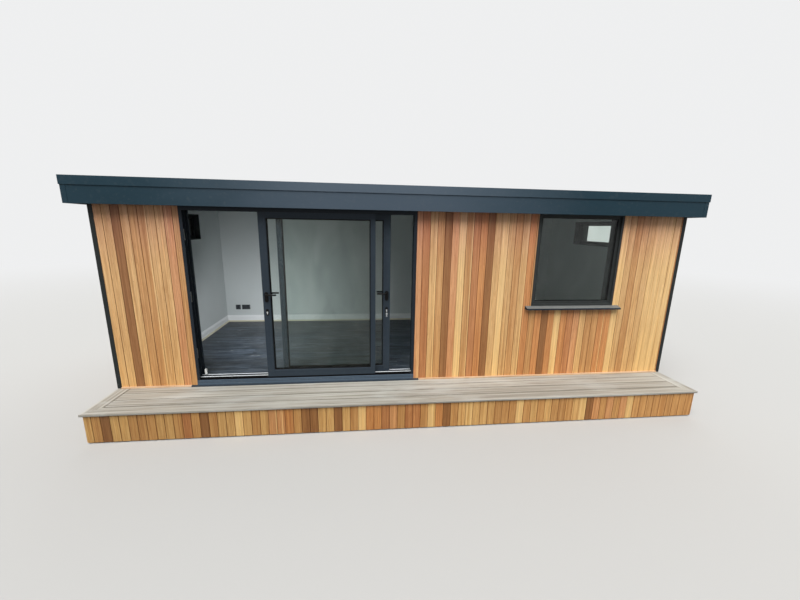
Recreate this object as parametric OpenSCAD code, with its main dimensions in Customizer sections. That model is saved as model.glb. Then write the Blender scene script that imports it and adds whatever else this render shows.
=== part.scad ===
// Garden office pod: flat-roofed timber room with a boarded deck along its front.
// X runs along the front, Y runs from the front to the back, Z is up from the lowest ground.

/* [Pod] */
// Width of the pod over its cladding
pod_w = 6720; // [6000:20:8000]
// Depth of the pod over its cladding
pod_d = 2820; // [2600:20:4000]
// Height of the room from floor to ceiling
room_h = 2100; // [2060:10:2300]
// Step from the deck up to the floor inside
step_up = 50; // [40:5:80]

/* [Walls] */
// Thickness of the timber cladding
cladding_t = 20; // [16:1:25]
// Thickness of the insulated panel in the front and back walls
panel_t = 167; // [140:1:200]
// Thickness of the insulated panel in the end walls
end_panel_t = 207; // [150:1:230]
// Thickness of the white boards inside
lining_t = 13; // [9:1:15]
// Gap between the foot of the cladding and the ground
ground_gap = 30; // [15:5:60]
// Width of each leg of the corner trims
corner_leg = 46; // [35:1:70]
// Thickness of the corner trims
corner_t = 3; // [2:0.5:5]
// Side of the thin batten at the foot of the front wall
batten_side = 18; // [12:1:25]

/* [Floor] */
// Thickness of the insulated floor panel
floor_panel_t = 150; // [100:5:200]
// Thickness of the floor boards inside
floor_board_t = 12; // [8:1:20]
// Width of each bearer below the floor
bearer_w = 100; // [75:5:150]
// How many bearers carry the floor
bearer_n = 5; // [4:1:8]

/* [Roof] */
// How far the fascia stands out from the cladding
roof_overhang = 125; // [80:5:300]
// Thickness of the insulated roof panel
roof_t = 100; // [80:5:160]
// Visible height of the fascia board
fascia_h = 175; // [150:1:220]
// Thickness of the fascia board
fascia_t = 20; // [15:1:30]
// Height of the edge trim above the fascia board
edge_h = 88; // [70:1:110]
// How far the edge trim stands in front of the fascia board
edge_proud = 8; // [4:1:15]
// Height of the edge trim's kerb above the roof panel
kerb_h = 20; // [10:1:40]
// Width of the edge trim's kerb on the roof
kerb_w = 80; // [50:5:120]
// How far the soffit sits above the fascia's foot
soffit_rise = 22; // [10:1:40]
// Thickness of the soffit boards
soffit_t = 9; // [6:1:18]
// Width of each leg of the fascia's corner covers
fascia_corner_w = 50; // [30:1:90]
// Thickness of the fascia's corner covers
fascia_corner_t = 2; // [1:0.5:4]
// Thickness of the roof covering
membrane_t = 2; // [1:0.5:5]

/* [Deck] */
// Height of the deck above the lowest ground
deck_h = 330; // [300:5:450]
// Depth of the deck in front of the wall
deck_d = 565; // [500:5:900]
// Thickness of the deck boards
deck_board_t = 24; // [20:1:30]
// Width of the deck's border boards
deck_border_w = 138; // [100:1:160]
// Gap between neighbouring deck boards
deck_gap = 5; // [3:1:8]
// How many boards fill the deck inside its border
deck_board_n = 3; // [2:1:5]
// How far the border boards stand out over the skirt
deck_nose = 20; // [10:1:30]
// Width of the deck's joists
joist_w = 47; // [38:1:60]
// Height of the deck's joists
joist_h = 120; // [95:5:170]
// How many bays the deck's joists make
deck_bays = 16; // [12:1:24]
// Side of the deck's posts
post_side = 95; // [70:5:120]
// Gap between the foot of the skirt and the ground
skirt_gap = 12; // [8:1:30]

/* [Door] */
// Distance from the left corner to the door frame
door_x = 858; // [500:1:1200]
// Width of the door frame
door_w = 2526; // [2200:2:3000]
// Depth of the door frame
frame_d = 120; // [110:1:140]
// How far the door and window frames stand out from the cladding
frame_proud = 5; // [0:1:15]
// Width of the door jambs seen from the front
jamb_face = 34; // [28:1:60]
// Height of the door head seen from the front
head_face = 60; // [45:1:70]
// Height of the threshold
threshold_h = 58; // [50:1:70]
// Height of the cill below the threshold
cill_h = 15; // [12:1:24]
// How far the cill reaches in front of the cladding
cill_reach = 25; // [22:1:50]
// How far the cill runs past the door frame on each side
cill_ear = 62; // [20:1:80]
// Fall of the cill's top towards its nose
cill_fall = 3; // [2:1:5]
// Width of the drain slots in the front of the threshold
drain_w = 36; // [20:1:50]
// Height of the drain slots
drain_h = 6; // [4:1:8]
// Depth of the drip groove below the cill and the window sill
drip_depth = 6; // [3:1:10]
// Thickness of a sliding leaf
leaf_t = 42; // [38:1:46]
// Width of the outer stile that holds the handle
lock_stile = 82; // [70:1:95]
// Width of the stile where the leaves meet
meeting_stile = 56; // [45:1:70]
// Height of a leaf's bottom rail
bottom_rail = 83; // [75:1:110]
// Height of a leaf's top rail
top_rail = 70; // [60:1:90]
// How far the leaves overlap when both are shut
leaf_overlap = 56; // [45:1:70]
// Thickness of the rib between the two tracks
track_rib = 6; // [4:1:8]
// Depth of the channels that hold the leaves' edges
channel_depth = 13; // [11:1:18]
// Gap between a leaf and the frame around it
leaf_gap = 5; // [5:0.5:7]
// Height of a leaf's foot above the threshold
leaf_lift = 17; // [8:1:24]
// Thickness of the trims that line the doorway behind the frame
door_trim_t = 3; // [2:0.5:6]
// How far the left leaf stands open
left_open = 765; // [300:5:900]
// Gap between each lever and the other leaf as they stand
lever_clear = 16; // [6:1:60]
// Thickness of the door's glass units
door_glass_t = 24; // [20:1:28]
// Depth of the groove that holds the glass
glass_grip = 12; // [8:1:16]
// Width of the glazing beads
bead_w = 17; // [12:1:22]
// How far the glazing beads lie back from the face
bead_back = 2; // [1:0.5:3]
// Width of the interlocks on the meeting stiles
interlock_w = 14; // [10:1:20]
// How far the interlocks stand out from the stiles
interlock_out = 5; // [3:0.5:5]

/* [Door fittings] */
// Height of the lever above the deck
lever_z = 1080; // [950:5:1150]
// Length of the lever from its spindle
lever_len = 118; // [90:1:125]
// Diameter of the lever's bar
lever_d = 19; // [14:1:24]
// Distance from the leaf's face to the lever's middle
lever_out = 44; // [35:1:55]
// Width of the lever's backplate
plate_w = 42; // [30:1:46]
// Height of the lever's backplate
plate_h = 118; // [90:1:150]
// How far the backplate's round top stands above the lever's middle
plate_rise = 29; // [24:1:40]
// Thickness of the lever's backplate
plate_t = 8; // [5:1:12]
// Distance of the lock cylinder below the lever
lock_drop = 205; // [150:5:240]
// Diameter of the lock cylinder
lock_d = 17; // [14:1:20]
// Width of the plate round the lock cylinder
lock_plate_w = 34; // [26:1:40]
// Height of the plate round the lock cylinder
lock_plate_h = 76; // [50:1:90]
// Radius of the lever's bend, along its middle
lever_bend = 15; // [12:1:20]
// Diameter of the rollers
roller_d = 28; // [24:1:30]
// Width of the rollers
roller_w = 6; // [5:1:8]
// Width of the rails that carry the rollers
rail_w = 8; // [6:1:9]
// How far the rails stand above the threshold
rail_rise = 33; // [20:1:40]

/* [Windows] */
// Distance from the left corner to the front window
window_x = 4824; // [4200:1:5000]
// Width of the front window
window_w = 1074; // [800:2:1200]
// Height of the front window's foot above the deck
window_foot = 926; // [700:1:1200]
// Width of the window frames seen from outside
window_face = 26; // [20:1:40]
// Depth of the window frames
window_depth = 70; // [60:1:90]
// Width of the inner frame that holds the glass
sash_face = 30; // [20:1:45]
// Depth of the inner frame
sash_depth = 46; // [40:1:55]
// Thickness of the windows' glass units
window_glass_t = 24; // [20:1:28]
// How far the window sill stands out from the cladding
sill_reach = 70; // [40:1:90]
// How far the window sill runs past the frame on each side
sill_ear = 76; // [30:1:90]
// Height of the window sill where it meets the wall
sill_t = 40; // [30:1:50]
// Fall of the window sill's top towards its nose
sill_fall = 20; // [8:1:22]
// Thickness of the trims that line the window reveals
reveal_t = 9; // [6:1:15]
// How far the reveal trims stand out from the wall inside
reveal_lip = 4; // [2:1:8]
// Width of each end window
end_window_w = 1155; // [700:5:1200]
// Height of each end window
end_window_h = 376; // [320:2:600]
// Distance from the front of the pod to the end windows
end_window_y = 700; // [600:10:1100]
// Gap between the soffit and the end windows
end_window_drop = 62; // [20:1:120]
// How far the end windows' frames are set back from the outside
end_setback = 105; // [60:1:120]

/* [Room] */
// Height of the skirting boards
skirting_h = 119; // [90:1:150]
// Thickness of the skirting boards
skirting_t = 15; // [12:1:20]
// Side of the quarter-round bead at the floor
bead_side = 22; // [12:1:24]
// Height of the sockets' middle above the floor
socket_z = 275; // [250:5:450]
// Distance from the left wall to the single socket's middle
socket_x = 206; // [150:1:400]
// Side of the single socket plate
socket_side = 86; // [80:1:90]
// Width of the double socket plate
socket_double_w = 146; // [140:1:150]
// Thickness of the socket plates
socket_t = 9; // [6:1:12]
// Gap between the two socket plates
socket_gap = 24; // [5:1:60]

/* [Hidden] */
$fn = 48;

// Small overlap that lets a cut pass right through a face
over = 1;
// Least gap that lets a carried piece lie on its seat without touching
seat_gap = 0.3;

// Walls
wall_t = cladding_t + panel_t + lining_t;
end_wall_t = cladding_t + end_panel_t + lining_t;
edge_reach = roof_overhang + edge_proud;
pod_middle_y = (pod_d + edge_reach - deck_d) / 2;

// Heights
floor_z = deck_h + step_up;
panel_z = floor_z - floor_board_t;
ceiling_z = floor_z + room_h;
roof_z = ceiling_z + lining_t;
roof_top = roof_z + roof_t;
pod_top = roof_top + kerb_h;
fascia_foot = pod_top - edge_h - fascia_h;
soffit_z = fascia_foot + soffit_rise;
deck_under = deck_h - deck_board_t;
joist_z = deck_under - joist_h;

// Door frame
door_right = door_x + door_w;
frame_y = -frame_proud;
threshold_z = deck_h + cill_h;
threshold_top = threshold_z + threshold_h;
head_z = soffit_z - head_face;
track_pitch = leaf_t + 2 * leaf_gap + track_rib;
front_track_y = frame_y + (frame_d - track_pitch - leaf_t) / 2;
back_track_y = front_track_y + track_pitch;

// Sliding leaves
shut_edge = jamb_face - channel_depth + leaf_gap;
leaf_w = (door_w - 2 * shut_edge + leaf_overlap) / 2;
leaf_z = threshold_top + leaf_lift;
leaf_top = head_z + channel_depth - leaf_gap;
leaf_h = leaf_top - leaf_z;
left_leaf_x = door_x + shut_edge + left_open;
right_leaf_x = left_leaf_x + lock_stile / 2 + lever_len + lever_clear;
rail_foot = threshold_top - channel_depth;
rail_top = threshold_top + rail_rise;
roller_room = 1;
roller_groove_w = rail_w + 2 * leaf_gap + roller_room;
roller_z = rail_top + seat_gap + roller_d / 2;
roller_groove_h = roller_z + roller_d / 2 + 2 * roller_room - leaf_z;
roller_inset = 150;
axle_d = 8;

// Windows
window_z = deck_h + window_foot;
window_h = soffit_z - window_z;
end_window_z = soffit_z - end_window_drop - end_window_h;
end_reveal = end_wall_t + frame_proud + reveal_lip;
front_reveal = wall_t + frame_proud + reveal_lip;

// The whole pod stands with its middle above the origin
module on_site() {
    translate([-pod_w / 2, -pod_middle_y, 0]) children();
}

// A block given by its two opposite corners
module block(low, high) {
    translate(low) cube(high - low);
}

// A rectangular ring that stands in the XZ plane, with a face width for each side
module standing_ring(w, h, depth, left, right, bottom, top) {
    difference() {
        cube([w, depth, h]);
        translate([left, -over, bottom]) cube([w - left - right, depth + 2 * over, h - bottom - top]);
    }
}

// A plate with round ends that stands in the XZ plane, its middle at the origin
module round_ended_plate(w, h, t) {
    rotate([90, 0, 0]) linear_extrude(t) union() {
        square([w, h - w], center = true);
        for (side = [-1, 1]) translate([0, side * (h - w) / 2]) circle(d = w);
    }
}

// A section given by (y, z) points, carried along X
module along_x(length, points) {
    rotate([90, 0, 90]) linear_extrude(length) polygon(points);
}

// Section of a sill from the wall to its nose, with a sloping top and a drip groove below
function sill_section(reach, h, fall) =
    let (nose = 5, groove = 9) [
        [0, 0], [0, h], [frame_y, h], [-reach, h - fall], [-reach, 0],
        [-reach + nose, 0], [-reach + nose, drip_depth],
        [-reach + nose + groove, drip_depth], [-reach + nose + groove, 0]
    ];

// Base and floor

module bearers() {
    run = pod_w - 2 * cladding_t - bearer_w;
    color("burlywood") on_site() for (i = [0 : bearer_n - 1])
        translate([cladding_t + i * run / (bearer_n - 1), cladding_t, 0])
            cube([bearer_w, pod_d - 2 * cladding_t, panel_z - floor_panel_t]);
}

module floor_panel() {
    color("tan") on_site() difference() {
        block(
            [cladding_t, cladding_t, panel_z - floor_panel_t],
            [pod_w - cladding_t, pod_d - cladding_t, panel_z]
        );
        block([door_x, cladding_t - over, deck_h], [door_right, frame_y + frame_d, panel_z + over]);
    }
}

module floor_boards() {
    color("dimgray") on_site() union() {
        block([end_wall_t, wall_t, panel_z], [pod_w - end_wall_t, pod_d - wall_t, floor_z]);
        block([door_x, frame_y + frame_d, panel_z], [door_right, wall_t, floor_z]);
    }
}

// Insulated walls with the white boards on their room side

module front_wall_left() {
    color("whitesmoke") on_site() block([cladding_t, cladding_t, panel_z], [door_x, wall_t, roof_z]);
}

module front_wall_right() {
    color("whitesmoke") on_site() difference() {
        block([door_right, cladding_t, panel_z], [pod_w - cladding_t, wall_t, roof_z]);
        front_window_hole();
    }
}

module front_lintel() {
    color("whitesmoke") on_site() block([door_x, cladding_t, soffit_z], [door_right, wall_t, roof_z]);
}

module back_wall() {
    color("whitesmoke") on_site() block(
        [cladding_t, pod_d - wall_t, panel_z],
        [pod_w - cladding_t, pod_d - cladding_t, roof_z]
    );
}

module front_window_hole() {
    block([window_x, -over, window_z], [window_x + window_w, wall_t + over, soffit_z]);
}

module end_window_hole(x) {
    translate([x - over, end_window_y, end_window_z])
        cube([end_wall_t + 2 * over, end_window_w, end_window_h]);
}

module left_end_wall() {
    color("whitesmoke") on_site() difference() {
        block([cladding_t, wall_t, panel_z], [end_wall_t, pod_d - wall_t, roof_z]);
        end_window_hole(0);
    }
}

module right_end_wall() {
    color("whitesmoke") on_site() difference() {
        block([pod_w - end_wall_t, wall_t, panel_z], [pod_w - cladding_t, pod_d - wall_t, roof_z]);
        end_window_hole(pod_w - end_wall_t);
    }
}

module ceiling() {
    color("white") on_site() block(
        [end_wall_t, wall_t, ceiling_z],
        [pod_w - end_wall_t, pod_d - wall_t, roof_z]
    );
}

// Cladding and trims

module cladding_front_left() {
    color("peru") on_site() block([cladding_t, 0, ground_gap], [door_x, cladding_t, soffit_z]);
}

module cladding_front_right() {
    color("peru") on_site() difference() {
        block([door_right, 0, ground_gap], [pod_w - cladding_t, cladding_t, soffit_z]);
        front_window_hole();
    }
}

module cladding_ends() {
    color("peru") on_site() for (x = [0, pod_w - cladding_t]) difference() {
        block([x, 0, ground_gap], [x + cladding_t, pod_d, soffit_z]);
        end_window_hole(x);
    }
}

module cladding_back() {
    color("peru") on_site() block(
        [cladding_t, pod_d - cladding_t, ground_gap],
        [pod_w - cladding_t, pod_d, soffit_z]
    );
}

module corner_angle(foot) {
    translate([-corner_t, -corner_t, foot]) difference() {
        cube([corner_leg, corner_leg, soffit_z - foot]);
        translate([corner_t, corner_t, -over])
            cube([corner_leg, corner_leg, soffit_z - foot + 2 * over]);
    }
}

module corner_trims() {
    color("darkslategray") on_site() union() {
        corner_angle(deck_h);
        translate([pod_w, 0, 0]) mirror([1, 0, 0]) corner_angle(deck_h);
        translate([0, pod_d, 0]) mirror([0, 1, 0]) corner_angle(ground_gap);
        translate([pod_w, pod_d, 0]) mirror([1, 0, 0]) mirror([0, 1, 0]) corner_angle(ground_gap);
    }
}

module foot_battens() {
    color("peru") on_site() union() {
        block([corner_leg, -batten_side, deck_h], [door_x - cill_ear, 0, deck_h + batten_side]);
        block([door_right + cill_ear, -batten_side, deck_h], [pod_w - corner_leg, 0, deck_h + batten_side]);
    }
}

// Roof

// A level ring around the pod, from one distance outside its cladding to another
module roof_ring(outside, inside, low, high) {
    difference() {
        block([-outside, -outside, low], [pod_w + outside, pod_d + outside, high]);
        block([-inside, -inside, low - over], [pod_w + inside, pod_d + inside, high + over]);
    }
}

module roof_panel() {
    reach = roof_overhang - fascia_t;
    color("tan") on_site() block([-reach, -reach, roof_z], [pod_w + reach, pod_d + reach, roof_top]);
}

module roof_membrane() {
    reach = roof_overhang - kerb_w;
    color("gray") on_site() block(
        [-reach, -reach, roof_top],
        [pod_w + reach, pod_d + reach, roof_top + membrane_t]
    );
}

module fascia_boards() {
    color("darkslategray") on_site()
        roof_ring(roof_overhang, roof_overhang - fascia_t, fascia_foot, roof_top);
}

module roof_edge_trim() {
    color("darkslategray") on_site() union() {
        roof_ring(edge_reach, roof_overhang, pod_top - edge_h, pod_top);
        roof_ring(edge_reach, roof_overhang - kerb_w, roof_top, pod_top);
    }
}

module fascia_corner() {
    outer = roof_overhang + fascia_corner_t;
    translate([-outer, -outer, fascia_foot]) difference() {
        cube([fascia_corner_w, fascia_corner_w, fascia_h]);
        translate([fascia_corner_t, fascia_corner_t, -over])
            cube([fascia_corner_w, fascia_corner_w, fascia_h + 2 * over]);
    }
}

module fascia_corners() {
    color("darkslategray") on_site() union() {
        fascia_corner();
        translate([pod_w, 0, 0]) mirror([1, 0, 0]) fascia_corner();
        translate([0, pod_d, 0]) mirror([0, 1, 0]) fascia_corner();
        translate([pod_w, pod_d, 0]) mirror([1, 0, 0]) mirror([0, 1, 0]) fascia_corner();
    }
}

module soffit() {
    color("darkslategray") on_site()
        roof_ring(roof_overhang - fascia_t, -cladding_t, soffit_z, soffit_z + soffit_t);
}

// Deck

module deck_frame() {
    left = deck_nose + cladding_t;
    right = pod_w - left;
    front = -deck_d + deck_nose + cladding_t;
    pitch = (right - left - joist_w) / deck_bays;
    color("burlywood") on_site() union() {
        block([left, front, joist_z], [right, front + joist_w, deck_under]);
        block([left, -joist_w, joist_z], [right, 0, deck_under]);
        for (i = [0 : deck_bays])
            block(
                [left + i * pitch, front + joist_w + seat_gap, joist_z],
                [left + i * pitch + joist_w, -joist_w - seat_gap, deck_under]
            );
    }
}

module deck_posts() {
    left = deck_nose + cladding_t;
    right = pod_w - left;
    front = -deck_d + deck_nose + cladding_t;
    pitch = (right - left - post_side) / 4;
    color("burlywood") on_site() for (i = [0 : 4], y = [front, -post_side])
        translate([left + i * pitch, y, 0]) cube([post_side, post_side, joist_z]);
}

module deck_boards() {
    pitch = (deck_d - deck_border_w) / deck_board_n;
    end = deck_border_w + deck_gap;
    color("gray") on_site() for (i = [0 : deck_board_n - 1])
        block([end, -(i + 1) * pitch + deck_gap, deck_under], [pod_w - end, -i * pitch, deck_h]);
}

module border_end() {
    mitre_gap = 2;
    front = mitre_gap - deck_d;
    linear_extrude(deck_board_t)
        polygon([[0, front], [deck_border_w, front + deck_border_w], [deck_border_w, 0], [0, 0]]);
}

module deck_border() {
    color("gray") on_site() translate([0, 0, deck_under]) union() {
        linear_extrude(deck_board_t) polygon([
            [0, -deck_d], [pod_w, -deck_d],
            [pod_w - deck_border_w, -deck_d + deck_border_w], [deck_border_w, -deck_d + deck_border_w]
        ]);
        border_end();
        translate([pod_w, 0, 0]) mirror([1, 0, 0]) border_end();
    }
}

module deck_skirt() {
    front = -deck_d + deck_nose;
    color("peru") on_site() difference() {
        block([deck_nose, front, skirt_gap], [pod_w - deck_nose, 0, deck_under]);
        block(
            [deck_nose + cladding_t, front + cladding_t, skirt_gap - over],
            [pod_w - deck_nose - cladding_t, over, deck_under + over]
        );
    }
}

// Door frame

module door_jamb() {
    difference() {
        block([0, frame_y, threshold_top], [jamb_face, frame_y + frame_d, head_z]);
        for (y = [front_track_y, back_track_y])
            block(
                [jamb_face - channel_depth, y - leaf_gap, threshold_top - over],
                [jamb_face + over, y + leaf_t + leaf_gap, head_z + over]
            );
    }
}

module door_jambs() {
    color("darkslategray") on_site() union() {
        translate([door_x, 0, 0]) door_jamb();
        translate([door_right, 0, 0]) mirror([1, 0, 0]) door_jamb();
    }
}

module door_head() {
    inset = jamb_face - channel_depth;
    color("darkslategray") on_site() difference() {
        block([door_x, frame_y, head_z], [door_right, frame_y + frame_d, soffit_z]);
        for (y = [front_track_y, back_track_y])
            block(
                [door_x + inset, y - leaf_gap, head_z - over],
                [door_right - inset, y + leaf_t + leaf_gap, head_z + channel_depth]
            );
    }
}

module door_threshold() {
    inset = jamb_face - channel_depth;
    drain_foot = rail_foot + over;
    color("darkslategray") on_site() difference() {
        block([door_x, frame_y, threshold_z], [door_right, frame_y + frame_d, threshold_top]);
        for (y = [front_track_y, back_track_y])
            block(
                [door_x + inset, y - leaf_gap, rail_foot],
                [door_right - inset, y + leaf_t + leaf_gap, threshold_top + over]
            );
        for (part = [0.035, 0.26, 0.545, 0.745, 0.965])
            translate([door_x + part * door_w - drain_w / 2, frame_y - over, drain_foot])
                cube([drain_w, 2 * frame_proud + over, drain_h]);
    }
}

module door_rails() {
    inset = jamb_face - channel_depth;
    color("silver") on_site() for (y = [front_track_y, back_track_y])
        translate([door_x + inset, y + (leaf_t - rail_w) / 2, rail_foot])
            cube([door_w - 2 * inset, rail_w, rail_top - rail_foot]);
}

module door_cill() {
    color("darkslategray") on_site() union() {
        translate([door_x - cill_ear, 0, deck_h])
            along_x(door_w + 2 * cill_ear, sill_section(cill_reach, cill_h, cill_fall));
        block([door_x, 0, deck_h], [door_right, frame_y + frame_d, threshold_z]);
    }
}

// Trims from the door frame's back to just past the white boards, up both sides and over the top
module door_reveal_trims() {
    color("darkslategray") on_site() difference() {
        block([door_x, frame_y + frame_d, floor_z], [door_right, wall_t + reveal_lip, soffit_z]);
        block(
            [door_x + door_trim_t, frame_y + frame_d - over, floor_z - over],
            [door_right - door_trim_t, wall_t + reveal_lip + over, soffit_z - door_trim_t]
        );
    }
}

// Sliding leaves, drawn from their lower left front corner

module leaf_frame(left_stile, right_stile) {
    difference() {
        standing_ring(leaf_w, leaf_h, leaf_t, left_stile, right_stile, bottom_rail, top_rail);
        leaf_glass(left_stile, right_stile);
        for (y = [-over, leaf_t - bead_back])
            translate([left_stile - bead_w, y, bottom_rail - bead_w])
                cube([
                    leaf_w - left_stile - right_stile + 2 * bead_w,
                    bead_back + over,
                    leaf_h - bottom_rail - top_rail + 2 * bead_w
                ]);
        translate([-over, (leaf_t - roller_groove_w) / 2, -over])
            cube([leaf_w + 2 * over, roller_groove_w, roller_groove_h + over]);
    }
}

module leaf_glass(left_stile, right_stile) {
    translate([left_stile - glass_grip, (leaf_t - door_glass_t) / 2, bottom_rail - glass_grip])
        cube([
            leaf_w - left_stile - right_stile + 2 * glass_grip,
            door_glass_t,
            leaf_h - bottom_rail - top_rail + 2 * glass_grip
        ]);
}

module leaf_rollers() {
    for (x = [roller_inset, leaf_w - roller_inset])
        translate([x, leaf_t / 2, roller_z - leaf_z]) rotate([90, 0, 0]) union() {
            cylinder(d = roller_d, h = roller_w, center = true);
            cylinder(d = axle_d, h = roller_groove_w, center = true);
        }
}

// The hook that seals the meeting stiles, on the face at y = 0 from the edge at x = 0
module interlock() {
    clear = channel_depth + 2 * leaf_gap;
    translate([0, -interlock_out, clear]) cube([interlock_w, interlock_out, leaf_h - 2 * clear]);
}

// A quarter of a ring that turns a bar from -Y to +X, its bar's middle entering at the origin
module lever_elbow() {
    translate([lever_bend, 0, 0]) rotate([0, 0, 180]) rotate_extrude(angle = 90)
        translate([lever_bend, 0]) circle(d = lever_d);
}

// One lever with its backplate, and the lock cylinder in its own plate below, on the face at y = 0,
// pointing along +X
module lever_set() {
    lock_reach = 9;
    lock_plate_t = 6;
    elbow_y = -lever_out + lever_bend;
    union() {
        translate([0, 0, plate_rise - plate_h / 2]) round_ended_plate(plate_w, plate_h, plate_t);
        rotate([90, 0, 0]) cylinder(d = lever_d, h = -elbow_y);
        translate([0, elbow_y, 0]) lever_elbow();
        translate([lever_bend, -lever_out, 0]) rotate([0, 90, 0])
            cylinder(d = lever_d, h = lever_len - lever_bend);
    }
    translate([0, 0, -lock_drop]) union() {
        round_ended_plate(lock_plate_w, lock_plate_h, lock_plate_t);
        rotate([90, 0, 0]) cylinder(d = lock_d, h = lock_reach);
    }
}

// Levers on both faces of a leaf
module leaf_handles() {
    lever_set();
    translate([0, leaf_t, 0]) mirror([0, 1, 0]) lever_set();
}

module left_leaf() {
    translate([left_leaf_x, front_track_y, leaf_z]) children();
}

module right_leaf() {
    translate([right_leaf_x, back_track_y, leaf_z]) children();
}

module left_leaf_frame() {
    color("darkslategray") on_site() left_leaf() union() {
        leaf_frame(lock_stile, meeting_stile);
        translate([leaf_w - interlock_w, leaf_t + interlock_out, 0]) interlock();
    }
}

module left_leaf_glass() {
    color("lightblue", 0.4) on_site() left_leaf() leaf_glass(lock_stile, meeting_stile);
}

module left_leaf_handles() {
    color("black") on_site() left_leaf()
        translate([lock_stile / 2, 0, deck_h + lever_z - leaf_z]) leaf_handles();
}

module left_leaf_rollers() {
    color("silver") on_site() left_leaf() leaf_rollers();
}

module right_leaf_frame() {
    color("darkslategray") on_site() right_leaf() union() {
        leaf_frame(meeting_stile, lock_stile);
        interlock();
    }
}

module right_leaf_glass() {
    color("lightblue", 0.4) on_site() right_leaf() leaf_glass(meeting_stile, lock_stile);
}

module right_leaf_handles() {
    color("black") on_site() right_leaf()
        translate([leaf_w - lock_stile / 2, 0, deck_h + lever_z - leaf_z]) mirror([1, 0, 0]) leaf_handles();
}

module right_leaf_rollers() {
    color("silver") on_site() right_leaf() leaf_rollers();
}

// Windows, drawn in the XZ plane with the outside at y = 0

module window_frame(w, h) {
    inner = window_face + sash_face;
    union() {
        standing_ring(w, h, window_depth, window_face, window_face, window_face, window_face);
        translate([window_face, window_depth - sash_depth, window_face]) difference() {
            standing_ring(
                w - 2 * window_face, h - 2 * window_face, sash_depth,
                sash_face, sash_face, sash_face, sash_face
            );
            translate([sash_face - glass_grip, glass_seat(), sash_face - glass_grip])
                cube([w - 2 * inner + 2 * glass_grip, window_glass_t, h - 2 * inner + 2 * glass_grip]);
        }
    }
}

// A frame, and the trims that line its hole from the outside to just past the white boards
module lined_window_frame(w, h, setback, reveal) {
    union() {
        translate([0, setback, 0]) window_frame(w, h);
        standing_ring(w, h, reveal, reveal_t, reveal_t, reveal_t, reveal_t);
    }
}

function glass_seat() = (sash_depth - window_glass_t) / 2;

module window_glass(w, h) {
    inner = window_face + sash_face - glass_grip;
    translate([inner, window_depth - sash_depth + glass_seat(), inner])
        cube([w - 2 * inner, window_glass_t, h - 2 * inner]);
}

module at_left_window() {
    translate([-frame_proud, end_window_y + end_window_w, end_window_z]) rotate([0, 0, -90]) children();
}

module at_right_window() {
    translate([pod_w + frame_proud, end_window_y, end_window_z]) rotate([0, 0, 90]) children();
}

module front_window_frame() {
    color("darkslategray") on_site() translate([window_x, frame_y, window_z])
        lined_window_frame(window_w, window_h, 0, front_reveal);
}

module front_window_glass() {
    color("lightblue", 0.4) on_site() translate([window_x, frame_y, window_z])
        window_glass(window_w, window_h);
}

// A sill below a window w wide, drawn like the window
module sill_below(w) {
    translate([-sill_ear, frame_proud, -sill_t])
        along_x(w + 2 * sill_ear, sill_section(sill_reach, sill_t, sill_fall));
}

module window_sills() {
    color("darkslategray") on_site() union() {
        translate([window_x, frame_y, window_z]) sill_below(window_w);
        at_left_window() sill_below(end_window_w);
        at_right_window() sill_below(end_window_w);
    }
}

module end_window_frames() {
    color("darkslategray") on_site() union() {
        at_left_window() lined_window_frame(end_window_w, end_window_h, end_setback, end_reveal);
        at_right_window() lined_window_frame(end_window_w, end_window_h, end_setback, end_reveal);
    }
}

module end_window_glass() {
    color("lightblue", 0.4) on_site() union() {
        at_left_window() translate([0, end_setback, 0]) window_glass(end_window_w, end_window_h);
        at_right_window() translate([0, end_setback, 0]) window_glass(end_window_w, end_window_h);
    }
}

// Room

// A strip w thick and h high along every inside wall, open at the door
module around_room(offset_in, w, h, foot = 0) {
    left = end_wall_t + offset_in;
    right = pod_w - left;
    front = wall_t + offset_in;
    back = pod_d - front;
    bottom = floor_z + foot;
    difference() {
        block([left, front, bottom], [right, back, bottom + h]);
        block([left + w, front + w, bottom - over], [right - w, back - w, bottom + h + over]);
        block([door_x, 0, bottom - over], [door_right, front + w + over, bottom + h + over]);
    }
}

// A moulding in three steps: plain foot, waist and slim top
module skirting() {
    foot_h = 0.74 * skirting_h;
    waist_h = 0.14 * skirting_h;
    waist_t = 0.72 * skirting_t;
    top_t = 0.4 * skirting_t;
    color("white") on_site() union() {
        around_room(0, skirting_t, foot_h);
        around_room(0, waist_t, waist_h, foot_h);
        around_room(0, top_t, skirting_h - foot_h - waist_h, foot_h + waist_h);
    }
}

module floor_bead() {
    color("wheat") on_site() around_room(skirting_t, bead_side, bead_side);
}

module wall_sockets() {
    back = pod_d - wall_t;
    z = floor_z + socket_z - socket_side / 2;
    single_x = end_wall_t + socket_x - socket_side / 2;
    double_x = single_x + socket_side + socket_gap;
    color("dimgray") on_site() union() {
        block([single_x, back - socket_t, z], [single_x + socket_side, back, z + socket_side]);
        block([double_x, back - socket_t, z], [double_x + socket_double_w, back, z + socket_side]);
    }
}

bearers();
floor_panel();
floor_boards();
front_wall_left();
front_wall_right();
front_lintel();
back_wall();
left_end_wall();
right_end_wall();
ceiling();
cladding_front_left();
cladding_front_right();
cladding_ends();
cladding_back();
corner_trims();
foot_battens();
roof_panel();
roof_membrane();
fascia_boards();
roof_edge_trim();
fascia_corners();
soffit();
deck_frame();
deck_posts();
deck_boards();
deck_border();
deck_skirt();
door_jambs();
door_head();
door_threshold();
door_rails();
door_cill();
door_reveal_trims();
left_leaf_frame();
left_leaf_glass();
left_leaf_handles();
left_leaf_rollers();
right_leaf_frame();
right_leaf_glass();
right_leaf_handles();
right_leaf_rollers();
front_window_frame();
front_window_glass();
window_sills();
end_window_frames();
end_window_glass();
skirting();
floor_bead();
wall_sockets();
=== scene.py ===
"""Looks of the garden office pod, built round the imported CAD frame.

Metres, in the frame of the CAD: X runs along the front, Y from the front to the back,
and Z is up from the lowest ground.
"""

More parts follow.
